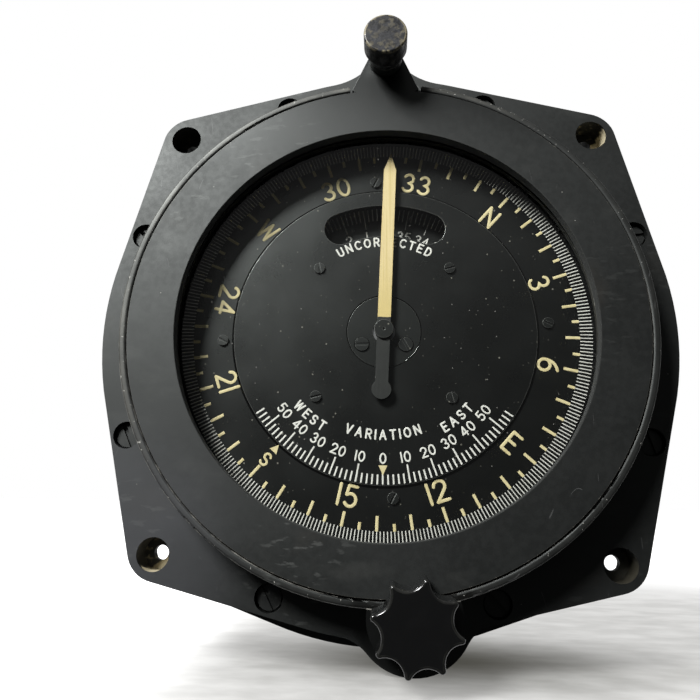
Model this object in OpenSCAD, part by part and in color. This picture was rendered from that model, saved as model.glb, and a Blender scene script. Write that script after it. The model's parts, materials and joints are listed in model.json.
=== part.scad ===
// Remote-reading aircraft compass, panel-mounted master indicator.
// A knob turns the outer compass card against a variation scale, a long pointer shows the corrected
// heading, and a second card behind a window shows the uncorrected one.
// Frame: origin at the centre of the panel bolts on the flange's front face, the dial faces -Y, +Z is up.
// Every piece is drawn with its dial facing +z and its top at +y, and upright() stands it in the frame.

/* [Mounting flange] */
// Distance between panel bolt holes, across and up
bolt_spacing = 127; // [122:0.5:136]
// Diameter of the hole for a panel bolt
bolt_hole_d = 4.2; // [3.6:0.1:5]
// Diameter of the counterbore for the head of a panel bolt
bolt_seat_d = 9.3; // [8.5:0.1:9.8]
// Diameter of the circle round a panel bolt hole that the sides of its ear touch
ear_d = 14.1; // [13:0.1:18]
// Radius of the corner of an ear
ear_corner_r = 9.2; // [8.5:0.1:10]
// Thickness of the front flange
flange_t = 9.5; // [9:0.1:13]
// Width of the flange outside the drum
flange_ledge_w = 9.6; // [9:0.1:12]
// Diameter of the counterbore of a flange screw
screw_seat_d = 7.8; // [7:0.1:8]
// Diameter of the shank of a flange screw
flange_screw_d = 3.4; // [2.6:0.1:4]

/* [Bezel] */
// Diameter of the opening in front of the glass
opening_d = 116.9; // [108:0.1:122]
// Width of the flat bezel plate ring
plate_w = 13.5; // [12.5:0.1:15]
// Thickness of the bezel plate
plate_t = 3.1; // [2.6:0.1:4]
// Width of the thin groove between bezel plate and rim
groove_w = 0.3; // [0.2:0.05:0.5]
// Width of the rounded rim of the drum
rim_w = 2.2; // [1.8:0.1:3]
// Height of the drum above the flange
drum_h = 11.9; // [11.5:0.1:14]
// How far the bezel plate stands above the rim
plate_stand = 0.4; // [0.2:0.05:0.8]
// Wall of the drum at the dial cavity
drum_wall = 3.5; // [3:0.1:4]
// Thickness of the cover glass
glass_t = 2.3; // [1.8:0.1:3]
// Thickness of the glass gasket
gasket_t = 0.6; // [0.4:0.1:1]
// Thickness of the glass retaining ring
glass_ring_t = 1.5; // [1.2:0.1:2]

/* [Dial] */
// Diameter of the centre dial disc
centre_dial_d = 87.8; // [84:0.1:90]
// Thickness of the centre dial disc
centre_dial_t = 0.6; // [0.5:0.05:1]
// Depth of the centre dial below the back of the glass
dial_depth = 4.1; // [3.9:0.1:5]
// Thickness of the variation card
card_t = 0.7; // [0.5:0.05:0.8]
// Clockwise turn of the variation card from north up
card_turn = 41.6; // [-56:0.1:56]
// Distance of the middle of the window slot from the edge of the centre dial
window_inset = 9.45; // [8.5:0.05:9.5]
// Width of the window slot
window_w = 9.8; // [8:0.1:9.8]
// Half of the window's angle, up to the centre of its round end
window_half_a = 22.5; // [15:0.1:26]
// Distance of the four centre dial screws from the edge of the centre dial
dial_screw_inset = 16.7; // [16.3:0.1:19]
// Diameter of the hub plate
hub_plate_d = 21.2; // [20:0.1:24]

/* [Pointer] */
// Distance of the pointer's tip from the dial axis
pointer_reach = 55.3; // [48:0.1:57]
// Width of the pointer at the hub
pointer_w = 3.85; // [3.6:0.05:5]
// Width of the pointer where its point begins
pointer_tip_w = 3.75; // [3:0.05:4.4]
// Length of the pencil point
pointer_point_l = 5.4; // [3:0.1:7]
// Distance of the far end of the tail from the dial axis
tail_reach = 20.2; // [16:0.1:24]
// Radius of the round end of the tail
tail_end_r = 2.8; // [2.2:0.1:3.4]
// Thickness of the pointer
pointer_t = 0.6; // [0.4:0.05:0.8]
// Clockwise turn of the pointer from the top
pointer_turn = 1.8; // [0:0.05:45]

/* [Knob] */
// Bearing of the knob from the top, clockwise
knob_bearing = 173.8; // [165:0.1:195]
// Diameter of the knob over its lobes
knob_d = 22.5; // [20:0.1:24]
// Number of lobes
knob_lobes = 8; // [7:1:9]
// Clockwise turn of the knob's lobes
knob_turn = 12; // [0:0.5:45]
// Height of the lobed part of the knob
knob_h = 10.5; // [8:0.1:13]
// Diameter of the raised boss behind the knob
knob_boss_d = 24.6; // [23:0.1:25]
// Diameter of the flange boss below the knob
flange_boss_d = 32.6; // [31.5:0.1:36]
// Diameter of the knob shaft
knob_shaft_d = 6; // [5:0.1:7]

/* [Lamp] */
// Height of the lamp axis above the dial axis, beyond the edge of the bezel plate
lamp_out = 9.55; // [9:0.05:11]
// Diameter of the lamp cap
lamp_cap_d = 12.5; // [12:0.1:14]
// Height of the knurled side of the cap
lamp_cap_side_h = 6.3; // [4.5:0.1:7]
// Height of the tapered skirt of the cap
lamp_cap_taper_h = 3.4; // [3:0.1:5]
// Diameter of the post under the cap
lamp_post_d = 9.9; // [9.6:0.1:10.4]
// Height of the post above the bezel plate
lamp_post_h = 2.9; // [2.5:0.1:6]
// Half width of the tongue where it leaves the bezel plate
tongue_half_w = 10; // [8.5:0.1:10.4]

/* [Case and movement] */
// How far the case flange stands out from the front flange
case_lip = 3.9; // [1:0.1:5]
// Thickness of the case flange
case_flange_t = 8.2; // [7:0.1:11]
// Outer diameter of the can
can_d = 146; // [144:0.5:148]
// Wall of the can
can_wall = 3; // [2.5:0.1:3.2]
// Length of the can behind its flange
can_l = 79.5; // [76:0.5:120]
// Thickness of the rear cover
cover_t = 3; // [2.4:0.1:5]
// Module of the gear teeth on the variation card
card_module = 1; // [0.9:0.05:1.1]
// Teeth on the knob pinion
knob_teeth = 20; // [19:1:21]
// Module of the gears in the movement
train_module = 0.8; // [0.75:0.01:0.85]
// Teeth on the main gear and on the pointer gear
main_teeth = 90; // [84:6:96]
// Teeth on the layshaft and motor pinions
pinion_teeth = 18; // [17:1:20]
// Radius of the outside of the receptacle's shell
socket_r = 13; // [12.5:0.1:15]

/* [Hidden] */
$fn = 96;

// Paint and metal colours
enamel = "#2a2b2b";
dial_black = "#1b1c1c";
cream = "#e9dba6";
brass = "#b0904a";
alloy = "#a9acae";
steel = "#8a8c8e";
rubber = "#1d1d1d";

// Clearances
cut = 1;
run_play = 0.05;
thread_play = 0.05;
seat_play = 0.2;
// How far curves that would only touch run into each other
blend_lap = 0.01;

// Rings from the opening outwards
opening_r = opening_d / 2;
plate_r = opening_r + plate_w;
rim_in_r = plate_r + groove_w;
drum_r = rim_in_r + rim_w;
rim_mid_r = rim_in_r + rim_w / 2;
flange_r = drum_r + flange_ledge_w;
bore_r = drum_r - drum_wall;
glass_lap = 4;
glass_r = opening_r + glass_lap;
gasket_inset = 0.3;
glass_ring_inset = 1;
glass_ring_gap = 2;
ear_r = ear_d / 2;
bolt_half = bolt_spacing / 2;
bolt_web_t = 2;
bolt_relief = 0.4;
bolt_relief_r = bolt_seat_d / 2 + bolt_relief;

// Heights of the front stack above the flange's front face
z_plate = drum_h + plate_stand;
z_shelf = z_plate - plate_t;
z_glass = z_shelf - gasket_t;
z_glass_back = z_glass - glass_t;
z_ring_back = z_glass_back - glass_ring_t;

// Dial levels
z_dial = z_glass_back - dial_depth;
z_dial_back = z_dial - centre_dial_t;
card_gap = 0.2;
z_card = z_dial_back - card_gap;
z_card_back = z_card - card_t;
spider_t = 1.35;
z_spider_back = z_dial_back - spider_t;
heading_gap = 4.95;
z_heading = z_spider_back - heading_gap;
heading_card_t = 0.6;
heading_stiffener_t = 1.5;
heading_stiffener_w = 4;
centre_r = centre_dial_d / 2;
window_mid_r = centre_r - window_inset;
dial_screw_r = centre_r - dial_screw_inset;
spider_rim_w = 2.2;
spider_hole_r = 5;
spider_hole_in = 1.8;
spider_hole_reach = (hub_plate_d / 2 + dial_screw_r) / 2 - spider_hole_in;
card_under = 1.4;
card_tuck = 4;
card_in_r = centre_r - card_under;
card_out_r = opening_r + card_tuck;
hub_plate_r = hub_plate_d / 2;
hub_plate_t = 0.5;
hub_hole_r = 3.3;
hub_screw_r = 7.4;
hub_screw_a = 121.4;

// Compass card gear ring, its bearing and the knob pinion
carrier_t = 0.9;
carrier_inset = 1.5;
gear_ring_t = 3;
gear_bore_gap = 4;
z_gear = z_card_back - carrier_t;
z_gear_back = z_gear - gear_ring_t;
card_teeth = round(2 * (bore_r - gear_bore_gap) / card_module);
card_gear_r = card_teeth * card_module / 2;
knob_gear_r = knob_teeth * card_module / 2;
knob_reach = card_gear_r + knob_gear_r;
knob_x = knob_reach * sin(knob_bearing);
knob_y = knob_reach * cos(knob_bearing);
knob_line = 90 - knob_bearing;
backlash = 0.16;
pressure_a = 20;
card_screw_edge = 3.3;
card_screw_r = centre_r + card_screw_edge;
card_thread_l = 1.5;
land_out = 1.05;
land_in = 1.2;
land_foot_w = 3.05;
land_r = centre_r + land_out;
land_in_r = centre_r - land_in;
land_foot_r = land_r + land_foot_w;
land_screw_r = (land_foot_r + land_in_r) / 2;
land_drop = 0.3;
ring_hole_r = 4;
ring_hole_count = 12;
ring_hole_in = 1.9;
ring_hole_reach = (card_screw_r + card_gear_r) / 2 - ring_hole_in;
heading_edge_gap = 0.4;
heading_card_r = land_in_r - heading_edge_gap;

// Case and frame plates behind the flange
joint_gasket_t = 0.8;
z_case = -flange_t - joint_gasket_t;
z_case_flange_back = z_case - case_flange_t;
case_flange_r = flange_r + case_lip;
can_r = can_d / 2;
can_in_r = can_r - can_wall;
can_spigot_l = 1;
z_can = z_case_flange_back + can_spigot_l;
z_can_back = z_case_flange_back - can_l;
z_cover_back = z_can_back - cover_t;
cover_rim_w = 5;
cover_rim_h = 6;
cover_screw_count = 6;
cover_screw_edge = 1.3;
cover_screw_r = can_in_r - cover_screw_edge;
thread_l = 4;
thread_rest = 1;
frame_t = 2.6;
z_frame = z_case - frame_t;
frame_edge_w = 2.45;
frame_ledge_w = 6.3;
frame_screw_edge = 3.1;
inner_plate_gap = 8;
inner_plate_r = can_in_r - inner_plate_gap;
pillar_edge = 4;
pillar_reach = inner_plate_r - pillar_edge;
pillar_r = 3.5;
pillar_bearings = [30, 150, 270];
frame_screw_bearings = [20, 110, 200, 290];

// Gear train: main gear, layshaft, pointer gear and motor
train_gear_t = 2;
train_pinion_t = 3;
train_gap = 2.3;
stop_collar_t = 2.3;
collar_gap = 0.2;
main_r = main_teeth * train_module / 2;
train_pinion_r = pinion_teeth * train_module / 2;
lay_reach = main_r + train_pinion_r;
tooth_step = 360 / main_teeth;
lay_bearing = 15 * tooth_step;
motor_bearing = 45 * tooth_step;
z_main = z_frame - train_gap;
z_main_back = z_main - train_gear_t;
sleeve_tail = 1.8;
z_sleeve_back = z_main_back - sleeve_tail;
z_collar = z_sleeve_back - collar_gap;
z_middle = z_collar - stop_collar_t;
z_middle_back = z_middle - frame_t;
pointer_gear_gap = 3;
z_pointer_gear = z_middle_back - pointer_gear_gap;
z_pointer_gear_back = z_pointer_gear - train_gear_t;
gear_hub_t = 2.5;
gear_hub_r = 5;
gear_hub_gap = 2;
z_rear = z_pointer_gear_back - gear_hub_t - gear_hub_gap;
z_rear_back = z_rear - frame_t;
train_shaft_r = 1.5;
shaft_end_gap = 0.4;
spoke_hole_share = 0.2;
spoke_reach_share = 0.58;
spoke_count = 6;
tube_r = 4;
tube_collar_w = 1.5;
sleeve_r = 6;
sleeve_gap = 0.5;
motor_r = 11;
motor_l = 38;
motor_boss_r = 5;
motor_shaft_r = 1.2;
motor_shaft_in = 10;
motor_shaft_out = 0.5;
transmitter_r = 19;
transmitter_l = 42;
transmitter_lip_w = 2.5;
transmitter_lip_t = 6;
pointer_shaft_in = 5;

// Pointer levels
pointer_lift = 2.5;
hub_cap_t = 0.8;
hub_foot_t = 0.9;
z_pointer = z_dial + pointer_lift;
z_hub_top = z_pointer + hub_cap_t;
z_hub_foot = z_pointer - pointer_t - hub_foot_t;
hub_r = 2.75;
hub_stem_r = 2;
hub_centre_r = 0.35;

// Knob, its shaft and bush
knob_shaft_r = knob_shaft_d / 2;
knob_tip_r = knob_d / 2;
knob_boss_r = knob_boss_d / 2;
flange_boss_r = flange_boss_d / 2;
flange_boss_fillet = 12;
case_boss_step = 2;
case_boss_r = flange_boss_r - case_boss_step;
knob_boss_drop = 0.4;
z_knob_boss = drum_h - knob_boss_drop;
bush_wall = 1.8;
bush_r = knob_shaft_r + bush_wall;
bush_stand = 0.8;
z_bush = z_knob_boss + bush_stand;
knob_foot_gap = 0.3;
z_knob_foot = z_bush + knob_foot_gap;
knob_plate_gap = 1.2;
z_knob_back = z_plate + knob_plate_gap;
z_knob = z_knob_back + knob_h;
knob_foot_r = 7;
knob_lobe_r = 0.9;
knob_flute_r = 4.36;
knob_face_t = 2.4;
pocket_gap = 0.6;
pinion_pocket_r = knob_gear_r + card_module + pocket_gap;
pinion_over = 0.4;
z_knob_pinion = z_gear + pinion_over;
z_pocket = z_knob_pinion + pinion_over;
z_knob_pinion_back = z_gear_back - pinion_over;
clip_t = 0.8;
clip_gap = 0.1;
clip_groove = 0.6;
clip_w = 2.4;
z_clip = z_knob_pinion_back - clip_gap;
shaft_tail = 0.7;
z_shaft_end = z_clip - clip_t - shaft_tail;
set_screw_r = 1.2;
set_screw_l = 4.5;
set_screw_gap = 0.1;
set_screw_slot = 0.8;
set_screw_slot_w = 0.6;
z_set_screw = z_knob_back + knob_h / 3;
set_screw_flute = 2;
set_screw_turn = 180 - knob_turn - (set_screw_flute + 0.5) * 360 / knob_lobes;

// Lamp post and bulb
lamp_y = plate_r + lamp_out;
tongue_end_r = 5.3;
lamp_flange_boss_r = 9;
lamp_flange_fillet = 20;
lamp_bore_r = 4.25;
rim_gap_w = 1.7;
rim_gap_half = tongue_half_w + rim_gap_w;
z_post = z_plate + lamp_post_h;
cap_gap = 0.1;
z_cap_skirt = z_post + cap_gap;
z_cap_side = z_cap_skirt + lamp_cap_taper_h;
z_cap = z_cap_side + lamp_cap_side_h;
lamp_cap_r = lamp_cap_d / 2;
lamp_post_r = lamp_post_d / 2;
cap_face_t = 2.4;
cap_edge = 0.6;
spigot_r = 4;
spigot_h = 4.5;
z_spigot = z_post + spigot_h;
holder_foot_l = 3;
z_holder_foot = z_shelf - holder_foot_l;
base_r = 3;
base_flange_r = 3.5;
base_flange_t = 0.8;
bulb_r = 2.8;
bulb_sink = 1.2;
z_bulb_neck = z_plate - bulb_sink;
bulb_l = 12.1;
z_bulb_tip = z_bulb_neck - bulb_l;
well_gap = 2;
z_lamp_well = z_bulb_tip - well_gap;
light_slot_w = 8;
light_slot_h = 4;
light_slot_up = 0.5;
z_light_slot = z_ring_back + light_slot_up;
contact_r = 2;
contact_gap = 0.3;

// Receptacle on the rear cover
socket_wall = 2;
socket_l = 16;
socket_flange_w = 36;
socket_flange_t = 3;
socket_screw_inset = 4.5;
socket_screw_half = socket_flange_w / 2 - socket_screw_inset;
z_socket = z_cover_back - socket_flange_t;
z_socket_mouth = z_socket - socket_l;
insert_r = socket_r - socket_wall;
insert_stand = 5;
z_insert = z_socket - insert_stand;
socket_pin_r = 0.8;
socket_pin_l = 5;
socket_pin_inset = 4;
socket_pin_ring_r = insert_r - socket_pin_inset;
socket_pin_count = 9;

// Screw sizes: head radius, head height, shank radius
head_gap = 0.5;
flange_screw = [screw_seat_d / 2 - head_gap, 1.5, flange_screw_d / 2];
bezel_screw = [2, 1.4, 1.3];
small_screw = [1.6, 0.7, 1.05];
hub_screw = [2, 0.5, 1.05];
frame_screw = [2.2, 1.2, 1.3];
pillar_screw = [2.8, 1.6, 1.5];
slot_w_share = 0.36;
slot_share = 0.45;
tip_gap = 0.4;
plate_skin = 0.8;
screw_seat_depth = 3;
seat_break = 0.05;
flange_screw_reach = flange_r - screw_seat_d / 2 + seat_break;
flange_screw_count = 8;
flange_screw_turns = [20, 75, 40, 110, 141, 3, 65, 150];
z_flange_thread = z_case - case_flange_t / 2;
frame_r = flange_screw_reach - flange_screw_d / 2 - frame_edge_w;
frame_screw_r = frame_r - frame_screw_edge;
flange_bore_r = min(can_in_r, frame_r - frame_ledge_w);
z_frame_thread = z_can + seat_play;
bezel_screw_edge = 3.5;
bezel_screw_reach = glass_r + bezel_screw_edge;
bezel_screw_count = 6;
bezel_screw_first = 180 / bezel_screw_count;
dial_screw_turn = 60;

// Shared shapes

module upright() rotate([90, 0, 0]) children();

module slab(z0, z1) translate([0, 0, z0]) linear_extrude(z1 - z0) children();

module at_bearing(bearing, reach) rotate(-bearing) translate([0, reach, 0]) children();

module around(count, reach, first = 0)
    for (i = [0 : count - 1]) at_bearing(first + i * 360 / count, reach) children();

module at_knob() translate([knob_x, knob_y, 0]) children();

module at_lamp() translate([0, lamp_y, 0]) children();

module at_corners(half)
    for (x = [-half, half], y = [-half, half]) translate([x, y, 0]) children();

module annulus(r_in, r_out) difference() {
    circle(r_out);
    circle(r_in);
}

// A slotted screw whose head stands on z = 0 and whose shank goes down
module screw(size, shank_l, turn = 0) {
    head_r = size[0];
    head_h = size[1];
    slot_w = slot_w_share * head_r;
    difference() {
        cylinder(h = head_h, r = head_r);
        rotate(turn) translate([-head_r - cut, -slot_w / 2, head_h * (1 - slot_share)])
            cube([2 * (head_r + cut), slot_w, head_h]);
    }
    translate([0, 0, -shank_l]) cylinder(h = shank_l, r = size[2]);
}

// Concave webs on both sides of a boss that stands out of a disc at the origin
module boss_webs(disc_r, boss, boss_r, fillet) {
    reach = norm(boss);
    along = boss / reach;
    side = [-along[1], along[0]];
    a = ((disc_r + fillet) ^ 2 - (boss_r + fillet) ^ 2 + reach ^ 2) / (2 * reach);
    h = sqrt((disc_r + fillet) ^ 2 - a ^ 2);
    for (s = [-1, 1]) {
        centre = a * along + s * h * side;
        difference() {
            polygon(s > 0 ? [[0, 0], boss, centre] : [[0, 0], centre, boss]);
            translate(centre) circle(fillet + blend_lap);
        }
    }
}

// Disc with four ears on tangent lines
module eared_disc(disc_r) {
    circle(disc_r);
    spread = acos((disc_r - ear_r) / (bolt_half * sqrt(2)));
    corner_reach = (disc_r - ear_corner_r) / cos(spread);
    for (a = [45 : 90 : 315]) {
        corner = corner_reach * [cos(a), sin(a)];
        first = [cos(a - spread), sin(a - spread)];
        last = [cos(a + spread), sin(a + spread)];
        polygon([[0, 0], (disc_r - blend_lap) * first, corner + (ear_corner_r - blend_lap) * first,
            corner + (ear_corner_r - blend_lap) * last, (disc_r - blend_lap) * last]);
        translate(corner) circle(ear_corner_r);
    }
}

module flange_outline(disc_r) {
    eared_disc(disc_r);
    translate([knob_x, knob_y]) circle(flange_boss_r);
    boss_webs(disc_r, [knob_x, knob_y], flange_boss_r, flange_boss_fillet);
    translate([0, lamp_y]) circle(lamp_flange_boss_r);
    boss_webs(disc_r, [0, lamp_y], lamp_flange_boss_r, lamp_flange_fillet);
}

module case_outline(disc_r) {
    eared_disc(disc_r);
    translate([knob_x, knob_y]) circle(case_boss_r);
}

// Tapered tongue that ends round under the lamp post
module tongue_outline() {
    foot = [tongue_half_w, plate_r];
    to_end = [0, lamp_y] - foot;
    lean = atan2(to_end[1], to_end[0]);
    touch = acos(tongue_end_r / norm(to_end));
    a = lean + 180 + touch;
    tip = [0, lamp_y] + (tongue_end_r - blend_lap) * [cos(a), sin(a)];
    polygon([foot, tip, [-tip[0], tip[1]], [-foot[0], foot[1]], [0, opening_r + plate_w / 2]]);
    translate([0, lamp_y]) circle(tongue_end_r);
}

// Involute of a circle, in degrees of turn
function involute(a) = tan(a) * 180 / PI - a;

// Half the angle that a tooth takes up at radius r
function half_tooth(teeth, module_mm, r) =
    let (
        pitch_r = teeth * module_mm / 2,
        base_r = pitch_r * cos(pressure_a),
        half = (90 / teeth) - backlash / (2 * pitch_r) * 180 / PI
    )
    half + involute(pressure_a) - (r > base_r ? involute(acos(base_r / r)) : 0);

// Gear outline with one tooth centred at angle first
module gear_outline(teeth, module_mm, first) {
    pitch_r = teeth * module_mm / 2;
    radii = [pitch_r - 1.25 * module_mm, pitch_r, pitch_r + module_mm];
    rise = [for (r = radii) [r, -half_tooth(teeth, module_mm, r)]];
    fall = [for (i = [2 : -1 : 0]) [radii[i], half_tooth(teeth, module_mm, radii[i])]];
    polygon([
        for (i = [0 : teeth - 1], p = concat(rise, fall))
            let (a = first + i * 360 / teeth + p[1])
            p[0] * [cos(a), sin(a)]
    ]);
}

// Front casting, plate and glass

module rim() {
    z_round = drum_h - rim_w / 2;
    gap_a = asin(rim_gap_half / rim_mid_r);
    far = 2 * drum_r;
    difference() {
        rotate_extrude() {
            translate([rim_in_r, z_shelf - cut]) square([rim_w, z_round - z_shelf + cut]);
            translate([rim_mid_r, z_round]) circle(rim_w / 2);
        }
        slab(z_shelf, z_plate + cut) difference() {
            polygon([[0, 0], far * [sin(gap_a), cos(gap_a)], far * [-sin(gap_a), cos(gap_a)]]);
            for (s = [-1, 1]) at_bearing(s * gap_a, rim_mid_r) circle(rim_w / 2 + blend_lap);
        }
    }
}

module bezel_casting() color(enamel) upright() difference() {
    union() {
        slab(-flange_t, 0) flange_outline(flange_r);
        slab(-cut, z_shelf) circle(drum_r);
        rim();
        slab(-cut, z_shelf) tongue_outline();
        difference() {
            at_knob() slab(-cut, z_knob_boss) circle(knob_boss_r);
            slab(z_shelf, z_plate + cut) circle(rim_in_r);
        }
    }
    slab(-flange_t - cut, z_glass_back) circle(bore_r);
    slab(z_glass_back - cut, z_shelf + cut) circle(glass_r + seat_play);
    at_knob() slab(-flange_t - cut, z_pocket) circle(pinion_pocket_r);
    at_knob() slab(z_pocket - cut, z_knob_boss + cut) circle(bush_r);
    at_lamp() slab(z_lamp_well, z_shelf + cut) circle(lamp_bore_r);
    slab(z_light_slot - light_slot_h, z_light_slot) translate([-light_slot_w / 2, bore_r - cut])
        square([light_slot_w, lamp_y - bore_r + cut]);
    at_corners(bolt_half) {
        slab(-flange_t + bolt_web_t, cut) circle(bolt_seat_d / 2);
        slab(-flange_t - cut, -flange_t + bolt_web_t + cut) circle(bolt_hole_d / 2);
    }
    around(flange_screw_count, flange_screw_reach, 180 / flange_screw_count) {
        slab(-screw_seat_depth, cut) circle(screw_seat_d / 2);
        slab(-flange_t - cut, -screw_seat_depth + cut) circle(flange_screw[2] + thread_play);
    }
    around(bezel_screw_count, bezel_screw_reach, bezel_screw_first)
        slab(z_glass_back - cut, z_shelf + cut) circle(bezel_screw[2] + thread_play);
}

module bezel_plate() color(enamel) upright() difference() {
    slab(z_shelf, z_plate) difference() {
        union() {
            circle(plate_r);
            tongue_outline();
        }
        circle(opening_r);
        translate([0, lamp_y]) circle(lamp_bore_r);
    }
    around(bezel_screw_count, bezel_screw_reach, bezel_screw_first)
        slab(z_shelf - cut, z_plate - plate_skin) circle(bezel_screw[2] + thread_play);
}

module bezel_screws() color(steel) upright()
    around(bezel_screw_count, bezel_screw_reach, bezel_screw_first)
        translate([0, 0, z_ring_back]) mirror([0, 0, 1])
            screw(bezel_screw, z_plate - plate_skin - tip_gap - z_ring_back);

module cover_glass() color("#cfe0e4", 0.3) upright() slab(z_glass_back, z_glass) circle(glass_r);

module glass_gasket() color(rubber) upright() slab(z_glass, z_shelf)
    annulus(opening_r + gasket_inset, glass_r);

module glass_retaining_ring() color(dial_black) upright() slab(z_ring_back, z_glass_back) difference() {
    annulus(opening_r + glass_ring_inset, bore_r - glass_ring_gap);
    around(bezel_screw_count, bezel_screw_reach, bezel_screw_first)
        circle(bezel_screw[2] + thread_play);
}

module flange_screws() color(enamel) upright()
    for (i = [0 : flange_screw_count - 1])
        at_bearing((i + 0.5) * 360 / flange_screw_count, flange_screw_reach)
            translate([0, 0, -screw_seat_depth])
                screw(flange_screw, -screw_seat_depth - z_flange_thread, flange_screw_turns[i]);

// Rear case, cover and receptacle

module flange_holes() {
    at_corners(bolt_half) circle(bolt_relief_r);
    around(flange_screw_count, flange_screw_reach, 180 / flange_screw_count)
        circle(flange_screw[2] + thread_play);
}

module flange_gasket() color(rubber) upright() slab(z_case, -flange_t) difference() {
    case_outline(flange_r);
    circle(frame_r + seat_play);
    translate([knob_x, knob_y]) circle(pinion_pocket_r);
    flange_holes();
}

module case_flange() color(enamel) upright() difference() {
    slab(z_case_flange_back, z_case) case_outline(case_flange_r);
    slab(z_frame, z_case + cut) circle(frame_r + seat_play);
    slab(z_case_flange_back - cut, z_case + cut) {
        circle(flange_bore_r);
        at_corners(bolt_half) circle(bolt_relief_r);
    }
    slab(z_case_flange_back - cut, z_can) circle(can_r);
    around(flange_screw_count, flange_screw_reach, 180 / flange_screw_count)
        slab(z_flange_thread - thread_rest, z_case + cut) circle(flange_screw[2] + thread_play);
    slab(z_frame_thread, z_frame + cut) for (b = frame_screw_bearings)
        at_bearing(b, frame_screw_r) circle(frame_screw[2] + thread_play);
}

module rear_case() color(enamel) upright() difference() {
    slab(z_can_back, z_can) circle(can_r);
    slab(z_can_back + cover_rim_h, z_can + cut) circle(can_in_r);
    slab(z_can_back - cut, z_can) circle(can_in_r - cover_rim_w);
    slab(z_can_back - cut, z_can_back + thread_l + thread_rest)
        around(cover_screw_count, cover_screw_r) circle(bezel_screw[2] + thread_play);
}

module rear_cover() color(enamel) upright() slab(z_cover_back, z_can_back) difference() {
    circle(can_r);
    circle(insert_r + seat_play);
    at_corners(socket_screw_half) circle(small_screw[2] + thread_play);
    around(cover_screw_count, cover_screw_r) circle(bezel_screw[2] + thread_play);
}

module rear_cover_screws() color(steel) upright() around(cover_screw_count, cover_screw_r)
    translate([0, 0, z_cover_back]) mirror([0, 0, 1]) screw(bezel_screw, cover_t + thread_l, dial_screw_turn);

module receptacle_shell() color(alloy) upright() difference() {
    union() {
        slab(z_socket, z_cover_back) translate([-1, -1] * socket_flange_w / 2) square(socket_flange_w);
        slab(z_socket_mouth, z_socket + cut) circle(socket_r);
    }
    slab(z_socket_mouth - cut, z_cover_back + cut) circle(insert_r);
    slab(z_socket - cut, z_cover_back + cut)
        at_corners(socket_screw_half) circle(small_screw[2] + thread_play);
}

module socket_pin_places() {
    children();
    around(socket_pin_count - 1, socket_pin_ring_r) children();
}

module receptacle_insert() color("#3a2a20") upright() slab(z_insert, z_cover_back + cover_t) difference() {
    circle(insert_r);
    socket_pin_places() circle(socket_pin_r);
}

module receptacle_pins() color(brass) upright()
    slab(z_insert - socket_pin_l, z_can_back + socket_pin_l) socket_pin_places() circle(socket_pin_r);

module receptacle_screws() color(steel) upright() at_corners(socket_screw_half)
    translate([0, 0, z_socket]) mirror([0, 0, 1])
        screw(small_screw, socket_flange_t + cover_t - tip_gap, dial_screw_turn);

// Movement frame

module front_frame_plate() color(alloy) upright() difference() {
    slab(z_frame, z_case) difference() {
        circle(frame_r);
        circle(sleeve_r + sleeve_gap);
        at_bearing(lay_bearing, lay_reach) circle(train_shaft_r + run_play);
        around(4, land_screw_r, 45) circle(frame_screw[2] + thread_play);
        for (b = pillar_bearings) at_bearing(b, pillar_reach) circle(pillar_screw[2] + thread_play);
        for (b = frame_screw_bearings) at_bearing(b, frame_screw_r) circle(frame_screw[2] + thread_play);
    }
    for (b = frame_screw_bearings) at_bearing(b, frame_screw_r)
        slab(z_case - frame_screw[1], z_case + cut) circle(frame_screw[0] + seat_play);
}

module frame_plate_screws() color(steel) upright() for (b = frame_screw_bearings)
    at_bearing(b, frame_screw_r) translate([0, 0, z_case - frame_screw[1]])
        screw(frame_screw, z_case - frame_screw[1] - z_frame_thread - tip_gap);

module inner_plate(z_back) slab(z_back, z_back + frame_t) difference() {
    circle(inner_plate_r);
    for (b = pillar_bearings) at_bearing(b, pillar_reach) circle(pillar_screw[2] + thread_play);
    children();
}

module middle_frame_plate() color(alloy) upright() inner_plate(z_middle_back) {
    circle(tube_r);
    at_bearing(lay_bearing, lay_reach) circle(2 * train_shaft_r);
}

module rear_frame_plate() color(alloy) upright() inner_plate(z_rear_back) {
    circle(train_shaft_r + run_play);
    at_bearing(lay_bearing, lay_reach) circle(train_shaft_r + run_play);
    at_bearing(motor_bearing, lay_reach) circle(motor_boss_r);
}

module frame_pillars() color(brass) upright() for (b = pillar_bearings) at_bearing(b, pillar_reach) {
    slab(z_middle, z_frame) annulus(pillar_screw[2] + thread_play, pillar_r);
    slab(z_rear, z_middle_back) annulus(pillar_screw[2] + thread_play, pillar_r);
}

module pillar_screws() color(steel) upright() for (b = pillar_bearings) at_bearing(b, pillar_reach)
    translate([0, 0, z_rear_back]) mirror([0, 0, 1]) screw(pillar_screw, z_case - tip_gap - z_rear_back);

// Dial and its supports

module card_bearing_ring() color(brass) upright() difference() {
    union() {
        slab(z_case, z_gear_back - card_gap) annulus(land_in_r, land_foot_r);
        slab(z_case, z_card_back - land_drop) annulus(land_in_r, land_r);
    }
    slab(z_case - cut, z_case + thread_l + tip_gap)
        around(4, land_screw_r, 45) circle(frame_screw[2] + thread_play);
}

module bearing_ring_screws() color(steel) upright() around(4, land_screw_r, 45)
    translate([0, 0, z_frame]) mirror([0, 0, 1]) screw(frame_screw, frame_t + thread_l);

module window_outline() {
    arc_r = window_mid_r + window_w / 2;
    far = 2 * arc_r;
    intersection() {
        annulus(window_mid_r - window_w / 2, arc_r);
        polygon([[0, 0], far * [sin(window_half_a), cos(window_half_a)],
            far * [-sin(window_half_a), cos(window_half_a)]]);
    }
    for (s = [-1, 1]) at_bearing(s * window_half_a, window_mid_r) circle(window_w / 2 + blend_lap);
}

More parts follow.
